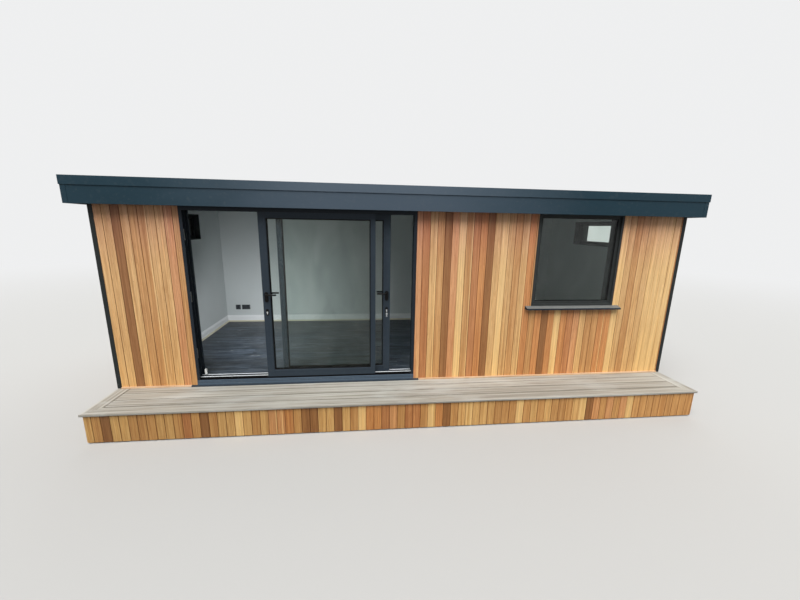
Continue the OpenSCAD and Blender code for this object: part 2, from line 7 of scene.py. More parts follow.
import math
import random

import bmesh
import bpy
from mathutils import Matrix, Vector


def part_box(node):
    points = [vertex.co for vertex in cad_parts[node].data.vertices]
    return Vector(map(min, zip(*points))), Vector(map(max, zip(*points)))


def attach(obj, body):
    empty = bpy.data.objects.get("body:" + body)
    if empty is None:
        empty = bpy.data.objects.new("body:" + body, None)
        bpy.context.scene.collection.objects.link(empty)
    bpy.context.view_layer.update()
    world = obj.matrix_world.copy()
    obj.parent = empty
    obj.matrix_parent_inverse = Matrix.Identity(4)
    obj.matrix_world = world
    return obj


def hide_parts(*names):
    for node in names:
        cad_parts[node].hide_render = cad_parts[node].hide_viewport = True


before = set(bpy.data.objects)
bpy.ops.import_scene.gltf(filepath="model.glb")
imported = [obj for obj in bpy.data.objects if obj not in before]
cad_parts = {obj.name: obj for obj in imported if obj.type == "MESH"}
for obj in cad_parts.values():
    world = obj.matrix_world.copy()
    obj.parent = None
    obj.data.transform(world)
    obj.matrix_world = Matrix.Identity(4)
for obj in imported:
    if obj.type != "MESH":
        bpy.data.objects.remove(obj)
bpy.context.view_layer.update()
draw = random.Random(11)

X, Y, Z = Vector((1, 0, 0)), Vector((0, 1, 0)), Vector((0, 0, 1))
WHITE = (1.0, 1.0, 1.0, 1.0)

# Strength and depth of the grain in a satin coat
SATIN_BUMP = (0.15, 0.0004)

# Camera of the photograph, fitted to the corners of the pod
CAMERA_AT = Vector((-0.593, -5.087, 2.184))
CAMERA_TURN, CAMERA_DOWN, CAMERA_ROLL = 6.37, 12.17, 1.02
FOCAL_PX, PHOTO_W = 341.0, 800
SENSOR = 36.0

# Cladding boards. SAP_FROM is where across a board its pale edge starts.
COVER = 0.0846
BOARD_T = 0.020
TONGUE_IN = 0.008
JOINT_GAP = 0.0028
BOARD_V = 0.0026
OPEN_EDGE = 0.0015
FACE_SKIN = 0.0016
SAP_FROM = 0.72
SAP_EDGE = 1.0
SLIVER = 0.004
NEAR = 0.001
FACE_PLAY = 0.0007
# How the faces down in a joint are darkened: painted shade
GROOVE_SHADE = (0.50, 0.38, 0.28)
# Heights over which the cedar is painted darker: pinker under the eaves, partly painted shade and partly
# drier wood, and yellower towards the ground, painted shade
EAVES_SHADE_AND_DRY = (1.6, 2.3)
FOOT_SHADE = (1.6, 0.3)

# Where the first joint stands in each run of boards
FIRST_JOINT = {
    "cladding_front_left": 0.0136,
    "cladding_front_right": 0.069,
    "cladding_ends": 0.03,
    "cladding_back": 0.02,
    "deck_skirt": 0.068,
    "deck_skirt_ends": 0.05,
}

# Cedar tones with how much pale sapwood runs through them, and the order in which they stand on the
# photographed walls. A capital is the same tone with sapwood along the board's right edge.
CEDAR = {
    "h": (231, 191, 138, 0.48),
    "t": (213, 167, 116, 0.46),
    "o": (216, 157, 105, 0.48),
    "s": (221, 167, 124, 0.60),
    "r": (202, 144, 100, 0.50),
    "b": (160, 115, 74, 0.30),
    "y": (241, 204, 146, 0.74),
}
TONES = {
    "cladding_front_left": "hhhbhtThhsto",
    "cladding_front_right": "srHtbsyTrobhYhtHotoboyorshttOoYhthhyyyyoh",
    "deck_skirt": "htbhhttthhtrtbthhyhthssotbbhhbhtyoorstrrtyobthyhhhtttyththttthybststsyttttttttttt",
}
USUAL_TONES = "hhhhtttoosyrbHTo"

# The narrow batten at the foot of the front wall
BATTEN_TONE, BATTEN_SAP, BATTEN_EASE = (228, 203, 184), 0.3, 0.002

# How much lighter or darker by chance one length may be than the next
BOARD_SHADES, BATTEN_SHADES, TIMBER_SHADES = 0.05, 0.03, 0.08
DECK_SHADES, PLANK_SHADES = 0.07, 0.28

# Deck and room
TIMBER_EASE = 0.002
DECK_EASE = 0.003
BORDER_EASE = 0.005
DECK_GAP = 0.005
BORDER_GAP = 0.002
# The colour of a deck board's sides in a gap: painted shade
DECK_GAP_SHADE = (0.36, 0.34, 0.31, 1.0)
MITRE_GAP = 0.0002
SKIRTING_T = 0.015
PLANK_W, PLANK_L = 0.192, 1.285
PLANK_EASE = 0.002
PLANK_GAP, PLANK_END_GAP = 0.0012, 0.0003
SHORTEST_PLANK, DOORWAY_START = 0.002, 0.4
# A plug's slots: right of the middle, above it, width and height
PLUG_SLOTS = ((0, 0.011, 0.0045, 0.009), (-0.011, -0.008, 0.008, 0.0045), (0.011, -0.008, 0.008, 0.0045))
SLOT_DEEP, SWITCH_W, SWITCH_OUT, SCREW_IN = 0.0003, 0.016, 0.0025, 0.009
SWITCH_TOP, SWITCH_FOOT = 0.008, 0.026

# Glazing. GRIP is how far the glass stands in its frame, LEAF_BEAD how far a leaf's bead reaches out.
GRIP = 0.012
PANE = 0.004
SPACER_EDGE = 0.0145
LEAF_BEAD = 0.019
BRUSH_T, BRUSH_DROP, BRUSH_FACE_IN, BRUSH_END_IN = 0.004, 0.0115, 0.0035, 0.004
# A joint line: how deep it is, and half its width
STEP, LINE = 0.0004, 0.0003

# Door furniture. BEAD_TALL is the height of a rail's metal bead.
BEAD_TALL = 0.008
LEVER_PLATE_W, LEVER_PLATE_H, LEVER_PLATE_T = 0.042, 0.118, 0.008
PLATE_RISE = 0.029
LOCK_PLATE_W, LOCK_PLATE_H, LOCK_PLATE_T = 0.034, 0.076, 0.006
LEVER_OUT, LEVER_LONG = 0.044, 0.118
LEVER_BEND = 0.013
LOCK_DROP = 0.205
SPINDLE_IN = 0.041
KEEP_HEIGHTS = (0.72, 1.38, 2.06)
KEEP_W, KEEP_H, KEEP_T, KEEP_IN = 0.020, 0.12, 0.0009, 0.021
JAMB_FACE = 0.034
KEY_RING, KEY_TIP_OUT = 0.013, 0.0245
STOP_IN, STOP_L, STOP_W, STOP_FOOT, STOP_TOP = 0.058, 0.022, 0.024, 0.003, 0.068
RIB_HEIGHTS, RIB_SHORT = (0.030, 0.046), 0.002
SEAM_DROP, SEAM_W = 0.0025, 0.0022

# Roof sheets
SHEETS, SHEET_LAP, SHEET_CELLS = 3, 0.05, 26
LAP_RISE, SHEET_RISE, SHEET_WAVE = 0.004, 0.0012, 0.0016

# Light
BACKGROUND = (0.86, 0.865, 0.87, 1.0)
SKY_COLOUR = (0.95, 0.98, 1.0, 1.0)
SKY_LIGHT = 0.40
# Strength, turn about X and turn about Z, in degrees
SUN = (3.9, 33, -22)
BACK_SUN = (1.1, 48, 160)
ROOM_LAMP = (9.5, 77, 4)
ROOM_LAMP_FROM_DOOR, ROOM_LAMP_HIGH = (-0.8, 0.35), 0.95
STAGE_FADE = (6.0, 22.0)
STAGE_RADIUS, STAGE_DROP = 60, 0.001

# Materials


def linear(red, green, blue):
    """A colour given as a screen shows it, from 0 to 255, as Blender takes it."""

    def one(value):
        value /= 255
        return value / 12.92 if value <= 0.04045 else ((value + 0.055) / 1.055) ** 2.4

    return (one(red), one(green), one(blue), 1.0)


class Nodes:
    """Adds nodes to the tree of a material or of the world, and joins them."""

    def __init__(self, tree):
        self.tree = tree
        tree.nodes.clear()

    def add(self, kind, *values, **settings):
        """A node with its settings, and with values or sockets for its first inputs."""
        node = self.tree.nodes.new("ShaderNode" + kind)
        for key, value in settings.items():
            setattr(node, key, value)
        for value, socket in zip(values, node.inputs):
            self.join(value, socket)
        return node

    def join(self, value, socket):
        if isinstance(value, bpy.types.NodeSocket):
            self.tree.links.new(value, socket)
        else:
            socket.default_value = value

    def fill(self, node, **values):
        for name, value in values.items():
            self.join(value, node.inputs[name.replace("_", " ")])

    def maths(self, how, first, second):
        return self.add("Math", first, second, operation=how).outputs[0]

    def seen(self):
        """1 for what the camera sees, also through glass and in reflections, and 0 for what only lights."""
        path = self.add("LightPath")
        total = path.outputs["Is Camera Ray"]
        for name in ("Is Glossy Ray", "Is Transmission Ray"):
            total = self.maths("MAXIMUM", total, path.outputs[name])
        return total


class Paint(Nodes):
    """Builds the nodes of one material round a Principled shader."""

    def __init__(self, name, colour=WHITE, rough=0.5, metallic=0.0, **sockets):
        self.material = bpy.data.materials.new(name)
        self.material.use_nodes = True
        super().__init__(self.material.node_tree)
        self.shader = self.add("BsdfPrincipled")
        self.out = self.add("OutputMaterial")
        self.surface(self.shader.outputs[0])
        self.fill(self.shader, Base_Color=colour, Roughness=rough, Metallic=metallic, **sockets)

    def surface(self, shader):
        self.join(shader, self.out.inputs["Surface"])

    def put(self, name, value):
        self.join(value, self.shader.inputs[name])

    def grain(self):
        """Place on a board: across it, into it and along it."""
        return self.add("Attribute", attribute_name="grain").outputs["Vector"]

    def tone(self, output="Color"):
        """The board's own colour, or in Alpha how much sapwood runs there."""
        return self.add("Attribute", attribute_name="tone").outputs[output]

    def place(self):
        """Place on the whole object."""
        return self.add("TexCoord").outputs["Object"]

    def part(self, vector, axis):
        return self.add("SeparateXYZ", vector).outputs[axis]

    def map(self, value, span, low, high):
        """Smoothly from low to high as the value crosses the span."""
        if span[0] > span[1]:
            span, low, high = span[::-1], high, low
        return self.add("MapRange", value, *span, low, high, interpolation_type="SMOOTHSTEP").outputs[0]

    def stretch(self, vector, by):
        return self.add("VectorMath", vector, by, operation="MULTIPLY").outputs[0]

    def noise(self, vector, scale, detail=4.0, rough=0.55, warp=0.0):
        """Noise of one scale, or of three: one each for X, Y and Z."""
        if isinstance(scale, tuple):
            vector, scale = self.stretch(vector, scale), 1.0
        node = self.add("TexNoise")
        self.fill(node, Vector=vector, Scale=scale, Detail=detail, Roughness=rough, Distortion=warp)
        return node.outputs["Fac"]

    def ramp(self, value, *stops):
        node = self.add("ValToRGB", value)
        marks = node.color_ramp.elements
        while len(marks) < len(stops):
            marks.new(0.5)
        for mark, (at, colour) in zip(marks, stops):
            mark.position = at
            mark.color = colour if isinstance(colour, tuple) else (colour, colour, colour, 1)
        return node.outputs[0]

    def mix(self, amount, first, second, how="MIX"):
        node = self.add("Mix", amount, data_type="RGBA", blend_type=how)
        self.join(first, node.inputs[6])
        self.join(second, node.inputs[7])
        return node.outputs[2]

    def layers(self, colour, *rows):
        """Lays colours over each other. A row is a pattern, the two stops between which it comes in,
        and a colour, which multiplies unless the row ends with another way."""
        for pattern, low, high, over, *how in rows:
            colour = self.mix(self.ramp(pattern, low, high), colour, over, *(how or ["MULTIPLY"]))
        return colour

    def fade(self, name, pattern, low, high, span=(0.3, 0.7)):
        """Runs a value of the shader from low to high with a pattern."""
        self.put(name, self.ramp(pattern, (span[0], low), (span[1], high)))

    def bump(self, height, strength, distance):
        node = self.add("Bump")
        self.fill(node, Height=height, Strength=strength, Distance=distance)
        self.put("Normal", node.outputs[0])


def cedar_paint():
    """Oiled cedar: crisp pale sapwood streaks, brown heartwood streaks, growth rings, fibres and a few
    knots. Under the eaves it is painted darker and pinker, partly painted shade and partly drier wood.
    Towards the ground it is painted darker and yellower, as painted shade."""
    paint = Paint("cedar_boards")
    grain = paint.grain()
    drift = paint.noise(grain, (9, 9, 0.6), detail=3)
    sap = paint.noise(grain, (34, 20, 0.30), detail=2, warp=0.35)
    heart = paint.noise(grain, (48, 30, 0.55), detail=3, warp=0.4)
    streaks = paint.noise(grain, (120, 95, 1.1), warp=0.3)
    figure = paint.noise(grain, (75, 40, 5), warp=1.2)
    sheen = paint.noise(grain, (62, 50, 2.2), detail=3, warp=0.8)
    threads = paint.noise(grain, (300, 260, 2.6), detail=3)
    fibres = paint.noise(grain, (800, 700, 11), detail=3)
    wave = paint.add("TexWave", wave_type="BANDS", bands_direction="X", wave_profile="SAW")
    along = paint.stretch(grain, (1, 0.4, 0.035))
    paint.fill(wave, Vector=along, Scale=24, Distortion=10, Detail=2, Detail_Scale=0.7)
    rings = wave.outputs["Fac"]
    spots = paint.add("TexVoronoi", feature="F1")
    paint.fill(spots, Vector=paint.stretch(grain, (7, 7, 2.6)), Randomness=1.0)
    knot = paint.ramp(spots.outputs["Distance"], (0.03, 1.0), (0.085, 0.0))
    pale = paint.maths("ADD", paint.maths("MULTIPLY", sap, 0.6), paint.tone("Alpha"))
    colour = paint.layers(
        paint.tone(),
        (drift, (0.36, 0.0), (0.68, 0.55), (0.85, 0.78, 0.71, 1)),
        (heart, (0.53, 0.0), (0.61, 0.50), (0.70, 0.57, 0.47, 1)),
        (figure, (0.48, 0.0), (0.60, 0.55), (0.80, 0.69, 0.58, 1)),
        (pale, (0.98, 0.0), (1.01, 0.7), linear(244, 208, 152), "MIX"),
        (sheen, (0.50, 0.0), (0.63, 0.6), (1.24, 1.25, 1.20, 1)),
        (streaks, (0.44, 0.0), (0.60, 0.62), (0.76, 0.66, 0.56, 1)),
        (rings, (0.6, 0.0), (1.0, 0.26), (0.70, 0.56, 0.45, 1)),
        (threads, (0.5, 0.0), (0.7, 0.42), (0.74, 0.62, 0.50, 1)),
        (fibres, (0.35, 0.0), (0.75, 0.32), (1.22, 1.2, 1.12, 1)),
    )
    colour = paint.mix(paint.maths("MULTIPLY", knot, 0.75), colour, linear(104, 62, 38))
    height = paint.part(paint.place(), "Z")
    patchy = paint.ramp(drift, (0.3, 0.6), (0.6, 1.0))
    # Painted shade, partly drier wood: darker and pinker under the eaves
    eaves = paint.maths("MULTIPLY", paint.map(height, EAVES_SHADE_AND_DRY, 0.0, 1.0), patchy)
    colour = paint.mix(eaves, colour, (0.92, 0.80, 0.98, 1), "MULTIPLY")
    # Painted shade: darker and yellower towards the ground
    colour = paint.mix(paint.map(height, FOOT_SHADE, 0.0, 1.0), colour, (0.92, 0.88, 0.76, 1), "MULTIPLY")
    paint.put("Base Color", colour)
    paint.fade("Roughness", streaks, 0.52, 0.68, (0.3, 0.8))
    paint.bump(paint.maths("ADD", fibres, paint.maths("MULTIPLY", rings, 0.35)), 0.35, 0.0006)
    return paint.material


def softwood_paint():
    """Rough sawn treated timber."""
    paint = Paint("treated_softwood", rough=0.8)
    grain = paint.grain()
    streaks = paint.noise(grain, (60, 60, 1.5), detail=5, warp=0.5)
    saw = paint.noise(grain, (30, 30, 420), detail=2)
    dark = paint.ramp(streaks, (0.3, 0.0), (0.75, 1.0))
    colour = paint.mix(dark, linear(196, 172, 122), linear(150, 122, 78))
    paint.put("Base Color", paint.mix(0.6, colour, paint.tone(), "MULTIPLY"))
    paint.bump(paint.maths("ADD", streaks, paint.maths("MULTIPLY", saw, 0.6)), 0.5, 0.001)
    return paint.material


def wall_paint():
    """White emulsion put on with a roller."""
    paint = Paint("white_wall_paint")
    place = paint.place()
    cloud = paint.noise(place, 1.6, detail=2)
    paint.fade("Base Color", cloud, linear(208, 213, 213), linear(214, 218, 218))
    paint.fade("Roughness", cloud, 0.62, 0.74)
    paint.bump(paint.noise(place, 420, detail=3), 0.12, 0.0006)
    return paint.material


def fine_paint(name, pattern, first, second, rough_pair, bump, span=(0.3, 0.7), board=True, **sockets):
    """A surface whose colour runs from the first to the second with one fine pattern, and its roughness
    too where a pair is given. The pattern lies on each board, or else on the whole object."""
    paint = Paint(name, **sockets)
    fine = paint.noise(paint.grain() if board else paint.place(), *pattern)
    paint.fade("Base Color", fine, linear(*first), linear(*second), span)
    if rough_pair:
        paint.fade("Roughness", fine, *rough_pair)
    if bump:
        paint.bump(fine, *bump)
    return paint.material


def laminate_paint():
    """Dark grey laminate with a printed and pressed wood grain, footprints of dust and a few pale scuffs."""
    paint = Paint("dark_laminate")
    grain = paint.grain()
    streaks = paint.noise(grain, (52, 52, 2.2), detail=6, warp=0.9)
    fibres = paint.noise(grain, (420, 420, 9), detail=3)
    scuffs = paint.noise(grain, (40, 40, 6), detail=7, rough=0.65, warp=0.5)
    dust = paint.noise(grain, (2.5, 2.5, 1.2), detail=2)
    film = paint.noise(paint.place(), 1.7, warp=0.5)
    colour = paint.ramp(
        streaks, (0.38, linear(25, 31, 39)), (0.5, linear(49, 59, 70)), (0.62, linear(86, 97, 110))
    )
    colour = paint.mix(1.0, colour, paint.tone(), "MULTIPLY")
    colour = paint.layers(colour, (film, (0.46, 0.0), (0.66, 0.12), linear(150, 156, 160), "MIX"))
    mark = paint.ramp(scuffs, (0.59, 0.0), (0.68, 0.9))
    for pattern, low, high in ((dust, (0.46, 0.0), (0.58, 1.0)), (fibres, (0.38, 0.3), (0.56, 1.0))):
        mark = paint.maths("MULTIPLY", mark, paint.ramp(pattern, low, high))
    paint.put("Base Color", paint.mix(mark, colour, linear(178, 182, 183)))
    paint.fade("Roughness", fibres, 0.34, 0.52, (0.3, 0.75))
    paint.bump(paint.maths("ADD", fibres, streaks), 0.3, 0.0006)
    return paint.material


def composite_paint():
    """Brushed grey-brown composite decking with darker and paler streaks, and broad paler patches."""
    paint = Paint("composite_decking", Specular_IOR_Level=0.3)
    grain = paint.grain()
    broad = paint.noise(grain, (40, 40, 0.7), detail=5, warp=0.4)
    streaks = paint.noise(grain, (150, 150, 1.6), warp=0.3)
    brushing = paint.noise(grain, (900, 900, 16), detail=2)
    pale_patches = paint.noise(paint.place(), (1.1, 2.6, 1), detail=5, warp=0.6)
    colour = paint.layers(
        paint.ramp(
            broad, (0.34, linear(139, 135, 127)), (0.5, linear(161, 158, 150)), (0.64, linear(183, 181, 174))
        ),
        (streaks, (0.42, 0.0), (0.62, 0.75), (0.74, 0.70, 0.65, 1)),
        (brushing, (0.4, 0.0), (0.7, 0.35), (1.18, 1.17, 1.15, 1)),
    )
    colour = paint.mix(1.0, colour, paint.tone(), "MULTIPLY")
    colour = paint.layers(colour, (pale_patches, (0.48, 0.0), (0.66, 0.5), linear(186, 187, 184), "MIX"))
    paint.put("Base Color", colour)
    paint.fade("Roughness", streaks, 0.62, 0.78, (0.3, 0.75))
    paint.bump(paint.maths("ADD", brushing, streaks), 0.5, 0.0008)
    return paint.material


def coat_paint(name, colour, rough, dust, settled=0.0, middle=None, gloss=0.14):
    """Powder coat: fine orange peel, a little unevenness, and pale dust where it settles. The colour
    goes over to the middle one halfway along the pod, where one is given: a painted reflection."""
    paint = Paint(name, Specular_IOR_Level=gloss)
    place = paint.place()
    cloud = paint.noise(place, (1.2, 1.2, 3))
    grime = paint.noise(place, 26, detail=5)
    pale = linear(*(c * 1.14 for c in colour))
    coat_colour = paint.mix(paint.ramp(cloud, (0.35, 0.0), (0.75, 0.5)), linear(*colour), pale)
    # A paler middle along the pod: painted reflection
    if middle:
        off = paint.maths("ADD", paint.part(place, "X"), paint.maths("MULTIPLY", cloud, 0.8))
        off = paint.maths("ABSOLUTE", off, 0.0)
        coat_colour = paint.mix(paint.map(off, (0.4, 2.6), 1.0, 0.0), coat_colour, linear(*middle))
    marks = paint.maths("MULTIPLY", paint.ramp(grime, (0.56, 0.0), (0.72, 1.0)), dust)
    if settled:
        upward = paint.part(paint.add("NewGeometry").outputs["Normal"], "Z")
        lying = paint.maths("MULTIPLY", paint.map(upward, (0.5, 0.9), 0.0, 1.0), settled)
        lying = paint.maths("MULTIPLY", lying, paint.ramp(grime, (0.3, 0.8), (0.7, 1.0)))
        marks = paint.maths("MAXIMUM", marks, lying)
    paint.put("Base Color", paint.mix(marks, coat_colour, linear(150, 150, 146)))
    paint.fade("Roughness", cloud, rough, rough + 0.10, (0.3, 0.8))
    paint.bump(paint.noise(place, 900, detail=2), 0.10, 0.0003)
    return paint.material


def roof_paint():
    """Black rubber sheet, greyed by weather, with faint tide marks where water has stood."""
    paint = Paint("roof_rubber_sheet", Specular_IOR_Level=0.3)
    place = paint.place()
    puddles = paint.noise(place, (1.1, 1.6, 1), detail=6, warp=0.2)
    dust = paint.noise(place, 60)
    broad = paint.noise(place, 2.2, detail=5)
    colour = paint.ramp(dust, (0.3, linear(50, 51, 53)), (0.75, linear(70, 71, 72)))
    colour = paint.layers(colour, (broad, (0.4, 0.0), (0.7, 0.35), linear(104, 103, 98), "MIX"))
    tide = paint.ramp(puddles, (0.54, 0.0), (0.575, 0.18), (0.60, 0.07))
    paint.put("Base Color", paint.mix(tide, colour, linear(124, 121, 112)))
    paint.fade("Roughness", puddles, 0.6, 0.8, (0.35, 0.65))
    paint.bump(dust, 0.25, 0.0008)
    return paint.material


def metal_paint(name, colour, rough, metallic=0.45):
    """Mill finish metal with drawing lines along X, a little duller in places."""
    dull = [c * 0.9 for c in colour]
    rough = (rough, rough + 0.14)
    return fine_paint(name, ((6, 900, 900), 2), colour, dull, rough, None, board=False, metallic=metallic)


def moulded_paint(name, colour, rough, gloss=0.5):
    """Moulded plastic or rubber with a fine even texture."""
    pale = [c * 1.12 for c in colour]
    rough = (rough, rough + 0.08)
    return fine_paint(
        name, (1500, 1), colour, pale, rough, (0.08, 0.0002), board=False, Specular_IOR_Level=gloss
    )


def glass_paint():
    """Clear double glazing that lets the lamps through, a little dimmed."""
    paint = Paint("clear_glazing", rough=0.0, Transmission_Weight=1.0, IOR=1.22)
    smears = paint.noise(paint.place(), (3, 3, 1.4), detail=5, warp=0.8)
    paint.fade("Base Color", smears, linear(246, 249, 247), linear(240, 244, 242), (0.35, 0.7))
    clear = paint.add("BsdfTransparent", linear(238, 241, 240)).outputs[0]
    shadow = paint.add("LightPath").outputs["Is Shadow Ray"]
    paint.surface(paint.add("MixShader", shadow, paint.shader.outputs[0], clear).outputs[0])
    return paint.material


# The looks of the record's slots, and after them those of pieces without a slot or with a coat of their own
looks = {
    "cedar": cedar_paint(),
    "softwood": softwood_paint(),
    "wall_white": wall_paint(),
    "trim_white": fine_paint(
        "white_satin_trim", ((500, 500, 12), 2), (242, 244, 245), (247, 248, 249), (0.32, 0.42), SATIN_BUMP
    ),
    "bead": fine_paint(
        "varnished_bead", ((160, 160, 3),), (230, 225, 204), (214, 206, 178), None, SATIN_BUMP,
        (0.3, 0.75), rough=0.38,
    ),
    "floor_dark": laminate_paint(),
    "composite_deck": composite_paint(),
    "anthracite": coat_paint("anthracite_coat", (46, 55, 64), 0.34, 0.035),
    # The paler middle of the slate coat is a painted reflection
    "fascia_slate": coat_paint("slate_coat_painted_reflection", (32, 54, 65), 0.42, 0.04, middle=(74, 87, 100)),
    "roof_rubber": roof_paint(),
    "silver": metal_paint("mill_aluminium", (214, 216, 218), 0.34),
    "black_metal": coat_paint("black_handle_coat", (5, 5, 6), 0.46, 0.01),
    "glass": glass_paint(),
    "socket_dark": moulded_paint("dark_socket_plastic", (58, 61, 64), 0.38),
}
looks |= {
    "frame_grey": coat_paint("weathered_anthracite_coat", (50, 53, 53), 0.36, 0.035),
    "trim_grey": coat_paint("dark_trim_coat", (39, 42, 42), 0.4, 0.035),
    "gasket": moulded_paint("black_gasket", (10, 10, 11), 0.6, 0.12),
    # The paler middle of the slate edge coat is a painted reflection
    "edge_slate": coat_paint("slate_edge_coat_painted_reflection", (34, 56, 67), 0.42, 0.04, middle=(86, 99, 112)),
    # A darker copy of the anthracite for the door's jambs and head: painted shade under the overhang
    "jamb_shade_grey": coat_paint("shaded_jamb_coat", (33, 39, 46), 0.36, 0.02),
    # A paler copy of the anthracite with more dust marks, for the threshold and its ribs
    "rib_grey": coat_paint("pale_threshold_coat", (76, 90, 104), 0.34, 0.12),
    "sill_grey": coat_paint("weathered_sill_coat", (36, 43, 51), 0.4, 0.12, settled=0.5),
    "rail": metal_paint("polished_rail", (206, 212, 218), 0.3, 0.15),
    "keep": metal_paint("zinc_keep", (190, 190, 186), 0.34),
    "stop_white": moulded_paint("white_plastic", (240, 242, 240), 0.4),
}

# Building pieces

# Across, inward and along, for a length that is laid along each axis
LAID = {"x": (Y, Z, X), "y": (X, Z, Y), "z": (X, Y, Z)}


def at(origin, across, inward, along):
    """The matrix that takes (across, inward, along) from the origin given."""
    turned = Matrix((across, inward, along)).transposed().to_4x4()
    return Matrix.Translation(Vector(origin)) @ turned


def shade(colour, spread):
    """The colour made a little lighter or darker by chance."""
    by = 1 + draw.uniform(-spread, spread)
    return (colour[0] * by, colour[1] * by, colour[2] * by, colour[3])


def any_grain():
    """A place in the pattern of the grain, picked by chance."""
    return Vector([draw.uniform(0, 50) for _ in range(3)])


def arc(middle, radius, start, sweep, steps):
    """Points of an arc, in degrees. The radius may be a pair, across and up."""
    wide, tall = radius if isinstance(radius, tuple) else (radius, radius)
    turns = [math.radians(start + sweep * k / steps) for k in range(steps + 1)]
    return [(middle[0] + wide * math.cos(turn), middle[1] + tall * math.sin(turn)) for turn in turns]


def rounded_box(w, t, ease, steps=2):
    """Outline of a box w across and t inward with rounded corners."""
    if not ease:
        return [(0, 0), (w, 0), (w, t), (0, t)]
    corners = ((ease, ease, 180), (w - ease, ease, 270), (w - ease, t - ease, 0), (ease, t - ease, 90))
    return [point for x, y, start in corners for point in arc((x, y), ease, start, 90, steps)]


def stadium(w, h, steps=10):
    """Outline of an upright plate with round ends, its middle at the origin."""
    rise = (h - w) / 2
    return arc((0, rise), w / 2, 0, 180, steps) + arc((0, -rise), w / 2, 180, 180, steps)


def make_object(name, mesh, material):
    data = bpy.data.meshes.new(name)
    mesh.to_mesh(data)
    mesh.free()
    data.materials.append(material)
    made = bpy.data.objects.new(name, data)
    bpy.context.collection.objects.link(made)
    return made


class Piece:
    """Gathers the faces of one piece, with the grain's place and a tone for each board."""

    def __init__(self):
        self.mesh = bmesh.new()
        self.grain = self.mesh.verts.layers.float_vector.new("grain")
        self.tone = self.mesh.verts.layers.float_color.new("tone")

    def point(self, where, grain, tone):
        vert = self.mesh.verts.new(where)
        vert[self.grain] = grain
        vert[self.tone] = tone
        return vert

    def bridge(self, one, other):
        """Faces between two rings of points. A ring of one point is a tip."""
        for k in range(max(len(one), len(other))):
            after = k + 1
            round_it = ((one, k), (one, after), (other, after), (other, k))
            verts = dict.fromkeys(points[index % len(points)] for points, index in round_it)
            self.mesh.faces.new(list(verts))

    def skin(self, rings, capped=False):
        """Faces from each ring of points to the next, and over both ends of a capped piece."""
        for one, other in zip(rings, rings[1:]):
            self.bridge(one, other)
        if capped:
            self.mesh.faces.new(rings[0])
            self.mesh.faces.new(rings[-1][::-1])

    def extrude(self, outline, place, end, start=0.0, tone=WHITE):
        """A prism of the outline of (across, inward) points. start and end are lengths along it,
        or functions of a point's place across, for ends that are cut at a slant. tone may be a
        function of the point's place too."""
        shift = any_grain()
        rings = []
        for cut in (start, end):
            ring = []
            for across, inward in outline:
                local = Vector((across, inward, cut(across) if callable(cut) else cut))
                own = tone(across, inward) if callable(tone) else tone
                ring.append(self.point(place @ local, local + shift, own))
            rings.append(ring)
        self.skin(rings, capped=True)

    def block(self, low, high, along="x", ease=0.0, tone=WHITE):
        """A box with eased edges along its length."""
        low = Vector(low)
        size = Vector(high) - low
        wide, thick, length = (size.dot(way) for way in LAID[along])
        self.extrude(rounded_box(wide, thick, ease), at(low, *LAID[along]), length, tone=tone)

    def ring(self, outline, place, width, height, tone=WHITE):
        """A rectangular frame: each (inset, inward) point of the outline runs round a rectangle."""
        shift = any_grain()
        loops = []
        for inset, inward in outline:
            right, top = width - inset, height - inset
            turns = ((inset, inset), (right, inset), (right, top), (inset, top))
            spots = [Vector((u, inward, v)) for u, v in turns]
            loops.append([self.point(place @ spot, spot + shift, tone) for spot in spots])
        self.skin(loops + loops[:1])

    def lathe(self, outline, place, sides=24, tone=WHITE):
        """The outline of (radius, along) points turned about the place's along axis."""
        rings = []
        for radius, along in outline:
            turned = arc((0, 0), radius, 0, 360, sides)[:-1] if radius > 0 else [(0, 0)]
            spots = [Vector((x, y, along)) for x, y in turned]
            rings.append([self.point(place @ spot, spot, tone) for spot in spots])
        self.skin(rings)

    def tube(self, path, radius, place, sides=16, flat=1.0, tone=WHITE):
        """A round or flattened bar along a path of points, closed at both ends."""
        points = [Vector(p) for p in path]
        last = len(points) - 1
        rings = []
        for k, point in enumerate(points):
            ahead = (points[min(k + 1, last)] - points[max(k - 1, 0)]).normalized()
            side = (Z.cross(ahead) if abs(ahead.z) < 0.9 else X).normalized()
            up = ahead.cross(side)
            size = radius(k / last) if callable(radius) else radius
            turned = arc((0, 0), (size * flat, size), 0, 360, sides)[:-1]
            ring = [point + side * across + up * rise for across, rise in turned]
            rings.append([self.point(place @ local, local, tone) for local in ring])
        self.skin(rings, capped=True)

    def done(self, name, look, body="pod", stands_for=(), bevel=0.0, smooth=False, slot=None):
        """Makes the object and rides it on its body. The slot argument is not used."""
        bmesh.ops.recalc_face_normals(self.mesh, faces=self.mesh.faces)
        piece = make_object(name, self.mesh, looks[look])
        if smooth:
            piece.data.shade_smooth()
        if bevel:
            add_bevel(piece, bevel)
        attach(piece, body)
        if stands_for:
            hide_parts(*stands_for)


def add_bevel(piece, width, segments=2):
    bevel = piece.modifiers.new("eased_edges", "BEVEL")
    bevel.width, bevel.segments = width, segments
    bevel.limit_method, bevel.angle_limit = "ANGLE", math.radians(35)
    bevel.use_clamp_overlap = True


def corners(node):
    """The lowest and the highest corner of a node."""
    low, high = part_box(node)
    return Vector(low), Vector(high)


